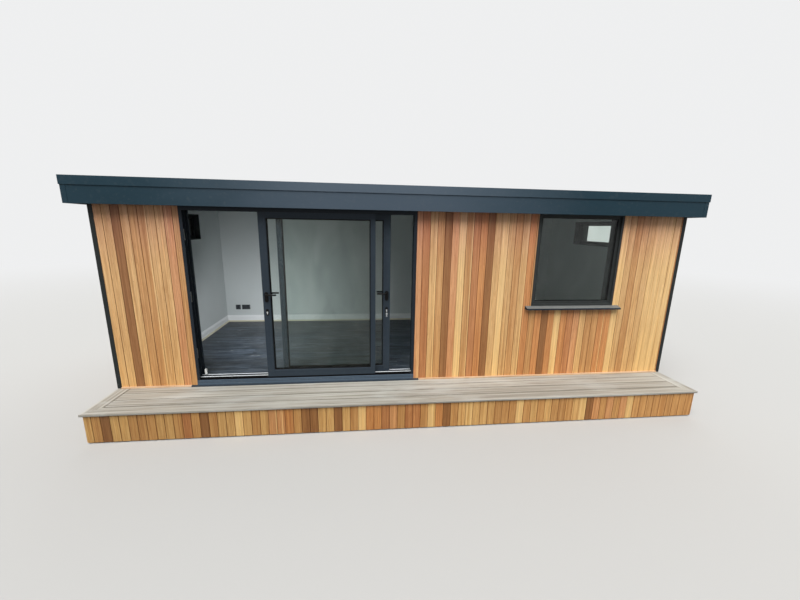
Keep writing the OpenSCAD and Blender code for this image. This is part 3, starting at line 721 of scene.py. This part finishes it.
def dress(look, bevel, *nodes):
    """Gives CAD nodes that stay their material and eased edges."""
    for node in nodes:
        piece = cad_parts[node]
        for holder in piece.material_slots:
            holder.link = "OBJECT"
            holder.material = looks[look]
        if bevel:
            weld = piece.modifiers.new("weld", "WELD")
            weld.merge_threshold = 0.00002
            flat = piece.modifiers.new("join_flat_faces", "DECIMATE")
            flat.decimate_type, flat.angle_limit = "DISSOLVE", math.radians(1)
            add_bevel(piece, bevel)


def loose_boxes(node):
    """The lowest and highest corners of each separate solid of a CAD node."""
    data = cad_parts[node].data
    solid_of = {}
    for face in data.polygons:
        points = {tuple(round(c, 5) for c in data.vertices[i].co) for i in face.vertices}
        solid = set().union(points, *(solid_of[point] for point in points if point in solid_of))
        solid_of.update(dict.fromkeys(solid, solid))
    solids = {id(solid): solid for solid in solid_of.values()}.values()
    boxes = [[Vector([reach(axis) for axis in zip(*solid)]) for reach in (min, max)] for solid in solids]
    return sorted(boxes, key=lambda pair: tuple(pair[0]))


def timbers(node):
    """Stands lengths of sawn timber for the node's separate solids, each with its own grain."""
    piece = Piece()
    for low, high in loose_boxes(node):
        size = high - low
        along = "xyz"[max(range(3), key=lambda k: size[k])]
        piece.block(low, high, along, TIMBER_EASE, shade(WHITE, TIMBER_SHADES))
    piece.done(node + "_lengths", "softwood", stands_for=(node,))


# Cladding

# The sides of the building, with the way across each and the way into it as seen from outside
SIDES = {"front": (X, Y), "back": (-X, -Y), "left": (-Y, X), "right": (Y, -X)}


def board_outline(width, left, right):
    """Section of a board, across it and in from its face. Each side is a joint, an open edge or flush."""
    half = JOINT_GAP / 2
    sides = {
        "joint": [(0, BOARD_T), (0, TONGUE_IN), (half, TONGUE_IN), (half, BOARD_V), (half + BOARD_V, 0)],
        "open": [(0, BOARD_T), (0, OPEN_EDGE), (OPEN_EDGE, 0)],
        "flush": [(0, BOARD_T), (0, 0)],
    }
    middle = [(width * SAP_FROM, 0)] if left == right == "joint" else []
    return sides[left] + middle + [(width - across, inward) for across, inward in reversed(sides[right])]


def board_tone(letter, width, tint):
    """Gives the tone at a place on a board: painted shade down in the joints, with sapwood towards a pale
    edge.
    """
    *colour, sap = CEDAR[letter.lower()]
    by = 1 + draw.uniform(-BOARD_SHADES, BOARD_SHADES)
    colour = [c * t * by for c, t in zip(linear(*colour), tint)]
    edge = SAP_EDGE if letter.isupper() else sap

    def tone(across, inward):
        # Painted shade on the faces down in a joint
        deep = GROOVE_SHADE if inward > FACE_SKIN else (1, 1, 1)
        return (*(c * d for c, d in zip(colour, deep)), edge if across > width * SAP_FROM + NEAR else sap)

    return tone


def clad(piece, side, run, low, high, window=None, tint=None):
    """Upright boards on one side of the box from low to high, left open where a window stands. run
    names the row of boards, and tint gives a colour from a board's place across."""
    across, inward = SIDES[side]
    ways = (across + inward).xy
    corner = Vector([near if way > 0 else far for way, near, far in zip(ways, low, high)] + [0])
    place = at(corner, across, inward, Z)
    width = abs(high.dot(across) - low.dot(across))
    hole = None
    if window:
        left, right = sorted(c.dot(across) - corner.dot(across) for c in window)
        if left > 0 and right < width:
            hole = (left, right, window[0].z, window[1].z)
    joints = [0.0]
    at_joint = FIRST_JOINT[run]
    while at_joint < width - SLIVER:
        if at_joint > SLIVER:
            joints.append(at_joint)
        at_joint += COVER
    joints.append(width)
    tones = TONES.get(run, "")
    for index, (left, right) in enumerate(zip(joints, joints[1:])):
        letter = tones[index] if index < len(tones) else draw.choice(USUAL_TONES)
        tone = board_tone(letter, right - left, tint(left / width) if tint else (1, 1, 1))
        face_in = draw.uniform(0, FACE_PLAY)
        cuts = [left, right]
        if hole:
            cuts += [c for c in hole[:2] if left + NEAR < c < right - NEAR]
        cuts.sort()
        for c0, c1 in zip(cuts, cuts[1:]):
            sides = [
                "joint" if c == edge and 0 < c < width else "open" if c == edge else "flush"
                for c, edge in ((c0, left), (c1, right))
            ]
            outline = board_outline(c1 - c0, *sides)
            spans = [(low.z, high.z)]
            if hole and c0 >= hole[0] - NEAR and c1 <= hole[1] + NEAR:
                spans = [(low.z, hole[2])] + ([(hole[3], high.z)] if hole[3] < high.z - NEAR else [])
            for start, end in spans:
                piece.extrude(outline, place @ Matrix.Translation((c0, face_in, 0)), end, start, tone)


def skirt_shade_tint(along):
    """The front of the skirt is painted darker and yellower towards its left end: painted shade, tinted by
    light off the ground.
    """
    return (0.75 + 0.30 * along, 0.74 + 0.29 * along, 0.64 + 0.32 * along)


def clad_walls():
    front_window = corners("front_window_frame")
    end_windows = loose_boxes("end_window_frames")
    for node, sides in (
        ("cladding_front_left", {"front": front_window}),
        ("cladding_front_right", {"front": front_window}),
        ("cladding_ends", {"left": end_windows[0], "right": end_windows[-1]}),
        ("cladding_back", {"back": None}),
    ):
        piece = Piece()
        for side, window in sides.items():
            clad(piece, side, node, *corners(node), window)
        piece.done(node + "_boards", "cedar", stands_for=(node,))
    low, high = corners("deck_skirt")
    piece = Piece()
    clad(piece, "front", "deck_skirt", low, high, tint=skirt_shade_tint)
    for side in ("left", "right"):
        clad(piece, side, "deck_skirt_ends", low + Y * BOARD_T, high)
    piece.done("deck_skirt_boards", "cedar", stands_for=("deck_skirt",))


def foot_battens():
    piece = Piece()
    colour = (*linear(*BATTEN_TONE)[:3], BATTEN_SAP)
    for low, high in loose_boxes("foot_battens"):
        piece.block(low, high, "x", BATTEN_EASE, shade(colour, BATTEN_SHADES))
    piece.done("foot_batten_lengths", "cedar", stands_for=("foot_battens",))


# Deck


def gap_shaded(width, unshaded_from=NEAR):
    """Gives the tone at a place on a deck board: the sides that stand in a gap are painted dark, as painted
    shade.
    """
    by = 1 + draw.uniform(-DECK_SHADES, DECK_SHADES)

    def tone(across, inward):
        side = across < unshaded_from or across > width - NEAR
        # Painted shade on the sides that stand in a gap
        return DECK_GAP_SHADE if side else (by, by, by, 1.0)

    return tone


def deck():
    piece = Piece()
    boards = loose_boxes("deck_boards")
    for low, high in boards:
        piece.block(low, high, "x", DECK_EASE, gap_shaded(high.y - low.y))
    piece.done("deck_board_lengths", "composite_deck", stands_for=("deck_boards",))
    low, high = corners("deck_border")
    wide = boards[0][0].x - DECK_GAP - low.x
    outline = rounded_box(wide, high.z - low.z, BORDER_EASE, steps=3)
    piece = Piece()
    piece.extrude(outline, at(low, Y, Z, X), lambda a: high.x - low.x - a, lambda a: a, gap_shaded(wide, -1))
    for side, x in ((1, low.x), (-1, high.x)):
        place = at((x, low.y, low.z), X * side, Z, Y)
        piece.extrude(outline, place, high.y - low.y, lambda a: a + BORDER_GAP, gap_shaded(wide, -1))
    piece.done("deck_border_lengths", "composite_deck", stands_for=("deck_border",))


# Room


def doorway():
    """Where the wall stops, left and right of the door."""
    return corners("front_wall_left")[1].x, corners("front_wall_right")[0].x


def round_the_room(piece, outline):
    """Runs a moulding of (out from the wall, up) points along every wall, mitred in the corners."""
    low, high = corners("skirting")
    door_left, door_right = doorway()
    wide, deep, floor = high.x - low.x, high.y - low.y, low.z

    def slant(a):
        return a

    piece.extrude(outline, at((low.x, high.y, floor), -Y, Z, X), lambda a: wide - a, slant)
    for x, out in ((low.x, X), (high.x, -X)):
        piece.extrude(
            outline, at((x, low.y, floor), out, Z, Y), lambda a: deep - a - MITRE_GAP, lambda a: a + MITRE_GAP
        )
    piece.extrude(outline, at(low, Y, Z, X), door_left - low.x, slant)
    piece.extrude(outline, at((high.x, low.y, floor), Y, Z, -X), high.x - door_right, slant)


def room_trims():
    """Skirting with an ogee along its top, and a quarter-round bead at its foot."""
    low, high = corners("skirting")
    thick, tall = SKIRTING_T, high.z - low.z
    outline = [(0, 0), (thick, 0), (thick, tall - 0.031), (0.0142, tall - 0.029), (0.0112, tall - 0.0275)]
    outline += arc((0.0112, tall - 0.014), (0.0062, 0.0125), -90, -90, 5)
    outline += [(0.0044, tall - 0.012), (0.0052, tall - 0.0105)]
    for k in range(6):
        rise = math.sin(math.radians(18 * k))
        outline.append((0.0052 - 0.0045 * rise * rise, tall - 0.0095 + 0.0085 * rise))
    outline.append((0, tall))
    bead_low, bead_high = corners("floor_bead")
    bead = [(thick, 0)] + arc((thick, 0), bead_high.z - bead_low.z, 0, 90, 6)
    for name, look, section, node in (
        ("skirting_moulding", "trim_white", outline, "skirting"),
        ("floor_bead_moulding", "bead", bead, "floor_bead"),
    ):
        piece = Piece()
        round_the_room(piece, section)
        piece.done(name, look, stands_for=(node,))


def floor_planks():
    low, high = corners("floor_boards")
    room_low, room_high = corners("skirting")
    thick = high.z - low.z
    piece = Piece()

    def row(y0, y1, x0, x1, phase):
        w, t, ease = y1 - y0, thick, PLANK_EASE
        outline = [(0, 0), (w, 0), (w, t - ease), (w - ease, t), (ease, t), (0, t - ease)]
        start = x0 - phase
        while start < x1:
            left, right = max(start, x0), min(start + PLANK_L, x1)
            if right - left > SHORTEST_PLANK:
                place = at((left, y0, low.z), Y, Z, X)
                piece.extrude(outline, place, right - left - PLANK_END_GAP, tone=shade(WHITE, PLANK_SHADES))
            start += PLANK_L

    back = room_high.y
    while back > room_low.y + NEAR:
        front = max(back - PLANK_W, room_low.y)
        row(front, back - PLANK_GAP, room_low.x, room_high.x, draw.uniform(0.1, PLANK_L))
        back = front
    row(low.y, room_low.y - PLANK_END_GAP, *doorway(), DOORWAY_START)
    piece.done("floor_planks", "floor_dark", stands_for=("floor_boards",))


def sockets():
    """A single and a double plate, with switches and slots for generic three-pin plugs."""
    plates, parts, screws = Piece(), Piece(), Piece()
    for low, high in loose_boxes("wall_sockets"):
        wide, tall, thick = high.x - low.x, high.z - low.z, high.y - low.y
        section = [
            (0.002, thick), (0, thick - 0.001), (0, 0.003), (0.003, 0), (wide - 0.003, 0), (wide, 0.003),
            (wide, thick - 0.001), (wide - 0.002, thick),
        ]
        plates.extrude(section, at(low, X, Y, Z), tall)
        outlets = 2 if wide > 0.1 else 1
        for n in range(outlets):
            middle = Vector((low.x + wide * (n + 0.5) / outlets, low.y, low.z + tall * 0.42))
            back = low.y + 0.002
            for dx, dz, w, h in PLUG_SLOTS:
                x, z = middle.x + dx, middle.z + dz
                parts.block((x - w / 2, low.y - SLOT_DEEP, z - h / 2), (x + w / 2, back, z + h / 2))
            left, right = middle.x - SWITCH_W / 2, middle.x + SWITCH_W / 2
            top, foot = high.z - SWITCH_TOP, high.z - SWITCH_FOOT
            parts.block((left, low.y - SWITCH_OUT, foot), (right, back, top), "x", 0.001)
        for x in (low.x + SCREW_IN, high.x - SCREW_IN):
            screws.lathe(
                [(0, 0), (0.0028, 0), (0.0032, 0.0008), (0.0032, 0.002), (0, 0.002)],
                at((x, low.y - 0.0009, low.z + tall / 2), X, Z, Y), sides=14,
            )
    plates.done("socket_plates", "socket_dark", stands_for=("wall_sockets",), bevel=0.0008)
    parts.done("socket_switches", "black_metal")
    screws.done("socket_screws", "silver")


# Glazing


def facing(low, high):
    """Which axis an upright pane is thin along, the way along its face and the way into it."""
    size = high - low
    return (1, X, Y) if size.y < size.x else (0, Y, X)


def sealed_unit(name, body, nodes, boxes):
    """Two panes with a dark spacer between them, for each glass unit."""
    panes, spacers = Piece(), Piece()
    for low, high in boxes:
        size = high - low
        thin, lead, into = facing(low, high)
        wide, back = size.dot(lead), size[thin] - PANE
        for start in (0.0, back):
            panes.extrude(rounded_box(wide, PANE, 0), at(low + into * start, lead, into, Z), size.z)
        section = [
            (0.004, PANE), (SPACER_EDGE, PANE), (SPACER_EDGE + 0.0008, PANE + 0.002),
            (SPACER_EDGE + 0.0008, back - 0.002), (SPACER_EDGE, back), (0.004, back),
        ]
        spacers.ring(section, at(low, lead, into, Z), wide, size.z)
    panes.done(name, "glass", body, stands_for=nodes)
    spacers.done(name + "_spacers", "gasket", body)


def window_parts(name, boxes, node):
    """Beads, gaskets and double glazing of fixed windows."""
    bead = [
        (-0.016, -0.0105), (-0.006, -0.0105), (-0.002, -0.008), (-0.0005, -0.0035), (-0.0005, -0.0018),
        (-0.016, -0.0018),
    ]
    gasket = [(-0.003, -0.0048), (0.002, -0.0044), (0.0058, -0.002), (0.0066, -0.0001), (-0.003, -0.0001)]
    beads, gaskets = Piece(), Piece()
    for low, high in boxes:
        thin, lead, into = facing(low, high)
        size = high - low
        wide, tall = size.dot(lead) - 2 * GRIP, size.z - 2 * GRIP
        for near, sign in ((low[thin], 1), (high[thin], -1)):
            corner = low + lead * GRIP + Z * GRIP
            corner[thin] = near
            place = at(corner, lead, into * sign, Z)
            beads.ring(bead, place, wide, tall)
            gaskets.ring(gasket, place, wide, tall)
    beads.done(name + "_beads", "anthracite")
    gaskets.done(name + "_gaskets", "gasket")
    sealed_unit(name + "_panes", "pod", (node,), boxes)


def leaf_parts(leaf):
    """Beads, gaskets, joint lines, brushes and double glazing of one sliding leaf."""
    bead = [
        (-LEAF_BEAD, 0.001), (-LEAF_BEAD, -0.0006), (-0.0175, -0.0016), (-0.006, -0.0016), (-0.002, -0.0004),
        (-0.0004, 0.002), (-0.0004, 0.0072), (-0.006, 0.0072),
    ]
    gasket = [(-0.004, 0.0045), (0.004, 0.0048), (0.0100, 0.0068), (0.0115, 0.0089), (-0.004, 0.0089)]
    glass_low, glass_high = corners(leaf + "_glass")
    frame_low, frame_high = corners(leaf + "_frame")
    left, right = glass_low.x + GRIP, glass_high.x - GRIP
    foot, top = glass_low.z + GRIP, glass_high.z - GRIP
    wide, tall = glass_high.x - glass_low.x - 2 * GRIP, glass_high.z - glass_low.z - 2 * GRIP
    beads, gaskets, lines, brushes = Piece(), Piece(), Piece(), Piece()
    for face, x, across, inward in ((frame_low.y, left, X, Y), (frame_high.y, right, -X, -Y)):
        place = at((x, face, foot), across, inward, Z)
        beads.ring(bead, place, wide, tall)
        gaskets.ring(gasket, place, wide, tall)
        for z0, z1 in ((frame_low.z, foot - LEAF_BEAD), (top + LEAF_BEAD, frame_high.z)):
            for x in (left, right):
                lines.block((x - LINE, face - STEP / 2, z0), (x + LINE, face + STEP / 2, z1), "z")
    for face in (frame_low.y + BRUSH_FACE_IN, frame_high.y - BRUSH_FACE_IN):
        brushes.block(
            (frame_low.x + BRUSH_END_IN, face - BRUSH_T / 2, frame_low.z - BRUSH_DROP),
            (frame_high.x - BRUSH_END_IN, face + BRUSH_T / 2, frame_low.z + 0.002),
        )
    brushes.done(leaf + "_foot_brushes", "gasket", leaf)
    beads.done(leaf + "_beads", "anthracite", leaf)
    gaskets.done(leaf + "_gaskets", "gasket", leaf)
    lines.done(leaf + "_joint_lines", "gasket", leaf)
    sealed_unit(leaf + "_panes", leaf, (leaf + "_glass",), [(glass_low, glass_high)])


# Door furniture


def bent_lever():
    """Points along the middle of a lever: out, round a bend and along, with its tip turned in."""
    straight, reach, tip = LEVER_OUT - LEVER_BEND, LEVER_LONG - 0.012, 0.014
    points = [(0, -0.006), (0, -straight * 0.6), (0, -straight)]
    points += arc((LEVER_BEND, -straight), LEVER_BEND, 180, 90, 6)[1:]
    points += [(x, -LEVER_OUT) for x in (reach * 0.4, reach * 0.75, reach - 0.006)]
    points += arc((reach - 0.006, tip - LEVER_OUT), tip, -90, 70, 4)[1:]
    return [(x, y, 0) for x, y in points]


def lever_size(along):
    """Half the lever's thickness, from 0 at the leaf to 1 at its tip."""
    return 0.0104 - 0.0012 * max(0, along - 0.3) - 0.0045 * max(0, along - 0.93) / 0.07


def lever_set(plates, levers, locks, slots, spindle, along, outward):
    """A lever on its backplate with the lock's cylinder below. outward points away from the leaf."""
    upright = at(spindle, along, Z, outward)
    plate = upright @ Matrix.Translation((0, PLATE_RISE - LEVER_PLATE_H / 2, 0))
    plates.extrude(stadium(LEVER_PLATE_W, LEVER_PLATE_H), plate, LEVER_PLATE_T)
    rose = [(0, 0.005), (0.0125, 0.005), (0.0125, 0.0105), (0.0115, 0.0125), (0, 0.0125)]
    levers.lathe(rose, upright, sides=28)
    levers.tube(bent_lever(), lever_size, at(spindle, along, -outward, Z), sides=18, flat=0.82)
    lock = upright @ Matrix.Translation((0, -LOCK_DROP, 0))
    plates.extrude(stadium(LOCK_PLATE_W, LOCK_PLATE_H), lock, LOCK_PLATE_T)
    cylinder = [(0, 0.004), (0.0085, 0.004), (0.0085, 0.0082), (0.0078, 0.009), (0.0030, 0.009), (0, 0.009)]
    locks.lathe(cylinder, lock, sides=28)
    locks.extrude(stadium(0.0105, 0.030), lock @ Matrix.Translation((0, -0.0085, 0)), 0.0078, 0.004)
    keyway = lock @ Matrix.Translation((-0.0009, -0.0042, 0))
    slots.extrude(rounded_box(0.0018, 0.0085, 0), keyway, 0.0092, 0.008)


def handles(leaf, edge, along, with_key):
    """A lever set on both faces of a leaf. edge is the side of the leaf's frame that it stands at."""
    frame_box = corners(leaf + "_frame")
    spindle_x = frame_box[edge].x + along.x * SPINDLE_IN
    z = corners(leaf + "_handles")[1].z - PLATE_RISE
    made = plates, levers, locks, slots = Piece(), Piece(), Piece(), Piece()
    for corner, outward in zip(frame_box, (-Y, Y)):
        lever_set(*made, (spindle_x, corner.y, z), along, outward)
    plates.done(leaf + "_backplates", "black_metal", leaf, bevel=0.0014)
    levers.done(leaf + "_levers", "black_metal", leaf, stands_for=(leaf + "_handles",), smooth=True)
    locks.done(leaf + "_lock_cylinders", "silver", leaf, bevel=0.0003)
    slots.done(leaf + "_keyways", "gasket", leaf)
    if with_key:
        keys(leaf, Vector((spindle_x, frame_box[0].y - 0.009, z - LOCK_DROP)))


def key(piece, place):
    """A flat key with a round bow: its blade runs along, its bow stands at the start."""
    piece.extrude(arc((0, 0), 0.011, 152, 236, 19), place, 0.001, -0.001)
    blade = [
        (-0.004, 0.008), (0.004, 0.008), (0.004, 0.016), (0.0025, 0.018), (0.004, 0.021), (0.002, 0.024),
        (0.0035, 0.027), (0.002, 0.030), (0.003, 0.033), (0.0, 0.036), (-0.003, 0.034), (-0.003, 0.016),
        (-0.004, 0.014),
    ]
    piece.extrude(blade, place, 0.0009, -0.0009)


def keys(body, lock):
    """One key in the lock and two more that hang from it on a ring."""
    piece = Piece()
    key(piece, at(lock - Y * KEY_TIP_OUT, Z, Y, X))
    ring_at = lock + Vector((0, -0.030, -0.016))
    hoop = at(ring_at, Vector((0.5, 0.866, 0)), Vector((-0.866, 0.5, 0)), Z)
    piece.tube([(x, 0, z) for x, z in arc((0, 0), KEY_RING, 90, -360, 24)], 0.0009, hoop, sides=6)
    for tilt, shift in ((8, 0.0), (-9, 0.0028)):
        lean = Matrix.Rotation(math.radians(tilt), 4, "Y")
        hung = Matrix.Translation(ring_at + Vector((0, shift - 0.002, -0.022)))
        key(piece, hung @ lean @ at((0, 0, 0), X, -Z, Y))
    piece.done("hanging_keys", "silver", body, bevel=0.0002)


# Door frame


def track_rails():
    """Each rail is a round-topped metal bead clipped on a black web. The web's black is painted shade of the
    track's channel.
    """
    beads, shaded_webs = Piece(), Piece()
    for low, high in loose_boxes("door_rails"):
        wide, cap = high.y - low.y, high.z - BEAD_TALL
        web = wide * 0.12
        # Painted shade: the black web under the bead
        shaded_webs.block(low + Vector((0, web, 0)), (high.x, high.y - web, cap + 0.004))
        outline = [(0, cap), (wide, cap)] + arc((wide / 2, high.z - wide / 2), wide / 2, 0, 180, 8)
        beads.extrude(outline, at((low.x, low.y, 0), Y, Z, X), high.x - low.x)
    beads.done("rail_beads", "rail", stands_for=("door_rails",), slot="silver")
    shaded_webs.done("rail_shaded_webs", "gasket")


def latch_keeps(jamb_low, jamb_high):
    piece = Piece()
    left, right = jamb_low.x + KEEP_IN, jamb_high.x - KEEP_IN
    for leaf, x0, x1 in (("left_leaf", left, left + KEEP_T), ("right_leaf", right - KEEP_T, right)):
        low, high = corners(leaf + "_frame")
        y = (low.y + high.y) / 2
        for z in KEEP_HEIGHTS:
            piece.block(
                (x0, y - KEEP_W / 2, z - KEEP_H / 2), (x1, y + KEEP_W / 2, z + KEEP_H / 2), "z", 0.0004
            )
    piece.done("latch_keeps", "keep")


def track_stop(jamb_low):
    """The white block at the left end of the back track."""
    low, high = corners("right_leaf_frame")
    x, y, z = jamb_low.x + STOP_IN, (low.y + high.y) / 2, corners("door_rails")[1].z
    piece = Piece()
    piece.block(
        (x, y - STOP_W / 2, z + STOP_FOOT), (x + STOP_L, y + STOP_W / 2, z + STOP_TOP), "z", 0.003
    )
    piece.done("track_stop_block", "stop_white")


def door_frame_parts():
    """Latch keeps, the stop block, the threshold's ribs and the frame's joint lines."""
    jamb_low, jamb_high = corners("door_jambs")
    sill_low, sill_high = corners("door_threshold")
    latch_keeps(jamb_low, jamb_high)
    track_stop(jamb_low)
    left, right, face = sill_low.x + RIB_SHORT, sill_high.x - RIB_SHORT, sill_low.y
    ribs = Piece()
    rib = [(0.002, 0), (-0.0016, 0.0008), (-0.0024, 0.003), (-0.0016, 0.0052), (0.002, 0.006)]
    for up in RIB_HEIGHTS:
        ribs.extrude(rib, at((left, face, sill_low.z + up), Y, Z, X), right - left)
    ribs.done("threshold_ribs", "rib_grey")
    lines = Piece()
    for up in RIB_HEIGHTS:
        z = sill_low.z + up - SEAM_DROP
        lines.block((left, face - STEP / 2, z), (right, face + STEP / 2, z + SEAM_W))
    # The right jamb's lines stand one jamb face left of it
    for x in (jamb_low.x, jamb_high.x - 2 * JAMB_FACE):
        for z in (jamb_high.z, sill_high.z):
            back = jamb_low.y + STEP / 2
            lines.block((x, back - STEP, z - LINE), (x + JAMB_FACE, back, z + LINE))
    lines.done("door_frame_joint_lines", "gasket")


# Roof


def roof_sheet():
    """Rubber sheet in three widths that lap, a little uneven where it lies on the boards."""
    low, high = corners("roof_membrane")
    piece = Piece()
    wide, cells = (high.x - low.x) / SHEETS, SHEET_CELLS
    for n in range(SHEETS):
        lap = SHEET_LAP if n < SHEETS - 1 else 0
        x0, x1 = low.x + n * wide, low.x + (n + 1) * wide + lap
        grid = {}
        for i in range(cells + 1):
            for j in range(cells + 1):
                x, y = x0 + (x1 - x0) * i / cells, low.y + (high.y - low.y) * j / cells
                z = high.z + SHEET_RISE * (n + 1) + SHEET_WAVE * math.sin(7 * x + 2 * y) * math.sin(5 * y + n)
                z += draw.uniform(0, 0.0006)
                if lap and i > cells - 2:
                    z += LAP_RISE
                grid[i, j] = piece.point((x, y, z), (x, y, z), WHITE)
        for i in range(cells):
            for j in range(cells):
                piece.mesh.faces.new((grid[i, j], grid[i + 1, j], grid[i + 1, j + 1], grid[i, j + 1]))
        run = range(cells)
        rim = [grid[i, 0] for i in run] + [grid[cells, j] for j in run]
        rim += [grid[cells - i, cells] for i in run] + [grid[0, cells - j] for j in run]
        foot = []
        for vert in rim:
            under = (vert.co.x, vert.co.y, low.z)
            foot.append(piece.point(under, under, WHITE))
        piece.bridge(rim, foot)
        piece.mesh.faces.new(foot)
    piece.done("roof_sheets", "roof_rubber", stands_for=("roof_membrane",))


# The room round the object


def make_stage():
    """A pale floor that fades into the pale background. It throws little light back up."""
    paint = Paint("studio_floor", rough=0.9, Specular_IOR_Level=0.0)
    seen = paint.seen()
    paint.put("Base Color", paint.mix(seen, linear(88, 88, 88), linear(182, 182, 181)))
    place = paint.add("NewGeometry").outputs["Position"]
    away = paint.add("VectorMath", place, operation="LENGTH").outputs["Value"]
    far = paint.maths("MULTIPLY", paint.map(away, STAGE_FADE, 0.0, 1.0), seen)
    glow = paint.add("Emission", BACKGROUND).outputs[0]
    paint.surface(paint.add("MixShader", far, paint.shader.outputs[0], glow).outputs[0])
    ground = bmesh.new()
    bmesh.ops.create_circle(ground, cap_ends=True, radius=STAGE_RADIUS, segments=96)
    floor = make_object("studio_floor", ground, paint.material)
    floor.location.z = -STAGE_DROP


def lamp(name, kind, energy, turn_x, turn_z, **settings):
    """A lamp turned by degrees about X and Z."""
    light = bpy.data.lights.new(name, kind)
    light.energy = energy
    for key_name, value in settings.items():
        setattr(light, key_name, value)
    holder = bpy.data.objects.new(name, light)
    holder.rotation_euler = (math.radians(turn_x), 0, math.radians(turn_z))
    bpy.context.collection.objects.link(holder)
    return holder


def make_light():
    """Soft light from high in front, a dimmer sky all round and a little light in the room."""
    world = bpy.data.worlds.new("studio")
    bpy.context.scene.world = world
    world.use_nodes = True
    nodes = Nodes(world.node_tree)
    sky = nodes.add("Background", SKY_COLOUR, SKY_LIGHT).outputs[0]
    backdrop = nodes.add("Background", BACKGROUND).outputs[0]
    nodes.add("OutputWorld", nodes.add("MixShader", nodes.seen(), sky, backdrop).outputs[0])
    lamp("high_soft_light", "SUN", *SUN, angle=math.radians(50), color=(1.0, 0.985, 0.96))
    lamp("back_soft_light", "SUN", *BACK_SUN, angle=math.radians(70))
    room = lamp(
        "room_light", "AREA", *ROOM_LAMP,
        shape="RECTANGLE", size=1.0, size_y=0.4, color=SKY_COLOUR[:3], spread=math.radians(105),
    )
    low, high = corners("door_head")
    middle = (low + high) / 2
    right, back = ROOM_LAMP_FROM_DOOR
    room.location = (middle.x + right, middle.y + back, ROOM_LAMP_HIGH)
    for way in ("camera", "glossy", "transmission"):
        setattr(room, "visible_" + way, False)


def make_camera():
    data = bpy.data.cameras.new("photo_camera")
    data.sensor_width = SENSOR
    data.lens = SENSOR * FOCAL_PX / PHOTO_W
    camera = bpy.data.objects.new("photo_camera", data)
    turn = Matrix.Identity(4)
    for degrees, axis in ((-CAMERA_TURN, "Z"), (90 - CAMERA_DOWN, "X"), (CAMERA_ROLL, "Z")):
        turn = turn @ Matrix.Rotation(math.radians(degrees), 4, axis)
    camera.matrix_world = Matrix.Translation(CAMERA_AT) @ turn
    bpy.context.collection.objects.link(camera)
    bpy.context.scene.camera = camera


make_camera()
make_light()
make_stage()
clad_walls()
foot_battens()
deck()
for timber in ("bearers", "deck_posts", "deck_frame"):
    timbers(timber)
room_trims()
floor_planks()
sockets()
leaf_parts("left_leaf")
leaf_parts("right_leaf")
handles("left_leaf", 0, X, False)
handles("right_leaf", 1, -X, True)
door_frame_parts()
track_rails()
window_parts("front_window", [corners("front_window_glass")], "front_window_glass")
window_parts("end_window", loose_boxes("end_window_glass"), "end_window_glass")
roof_sheet()

dress("wall_white", 0.0, "front_wall_left", "front_wall_right", "front_lintel", "back_wall")
dress("wall_white", 0.0, "left_end_wall", "right_end_wall", "ceiling")
# Painted shade: the jambs and head take a darker copy of the anthracite
dress("jamb_shade_grey", 0.0009, "door_jambs", "door_head")
dress("anthracite", 0.0009, "door_cill", "left_leaf_frame", "right_leaf_frame", "door_reveal_trims")
dress("frame_grey", 0.0009, "front_window_frame", "end_window_frames")
dress("trim_grey", 0.0009, "corner_trims")
dress("sill_grey", 0.0009, "window_sills")
dress("rib_grey", 0.0009, "door_threshold")
dress("fascia_slate", 0.0012, "fascia_boards", "soffit")
dress("fascia_slate", 0.0006, "fascia_corners")
dress("edge_slate", 0.0012, "roof_edge_trim")
dress("softwood", 0.0, "floor_panel", "roof_panel")
dress("silver", 0.0, "left_leaf_rollers", "right_leaf_rollers")

bpy.context.scene.view_settings.view_transform = "Standard"
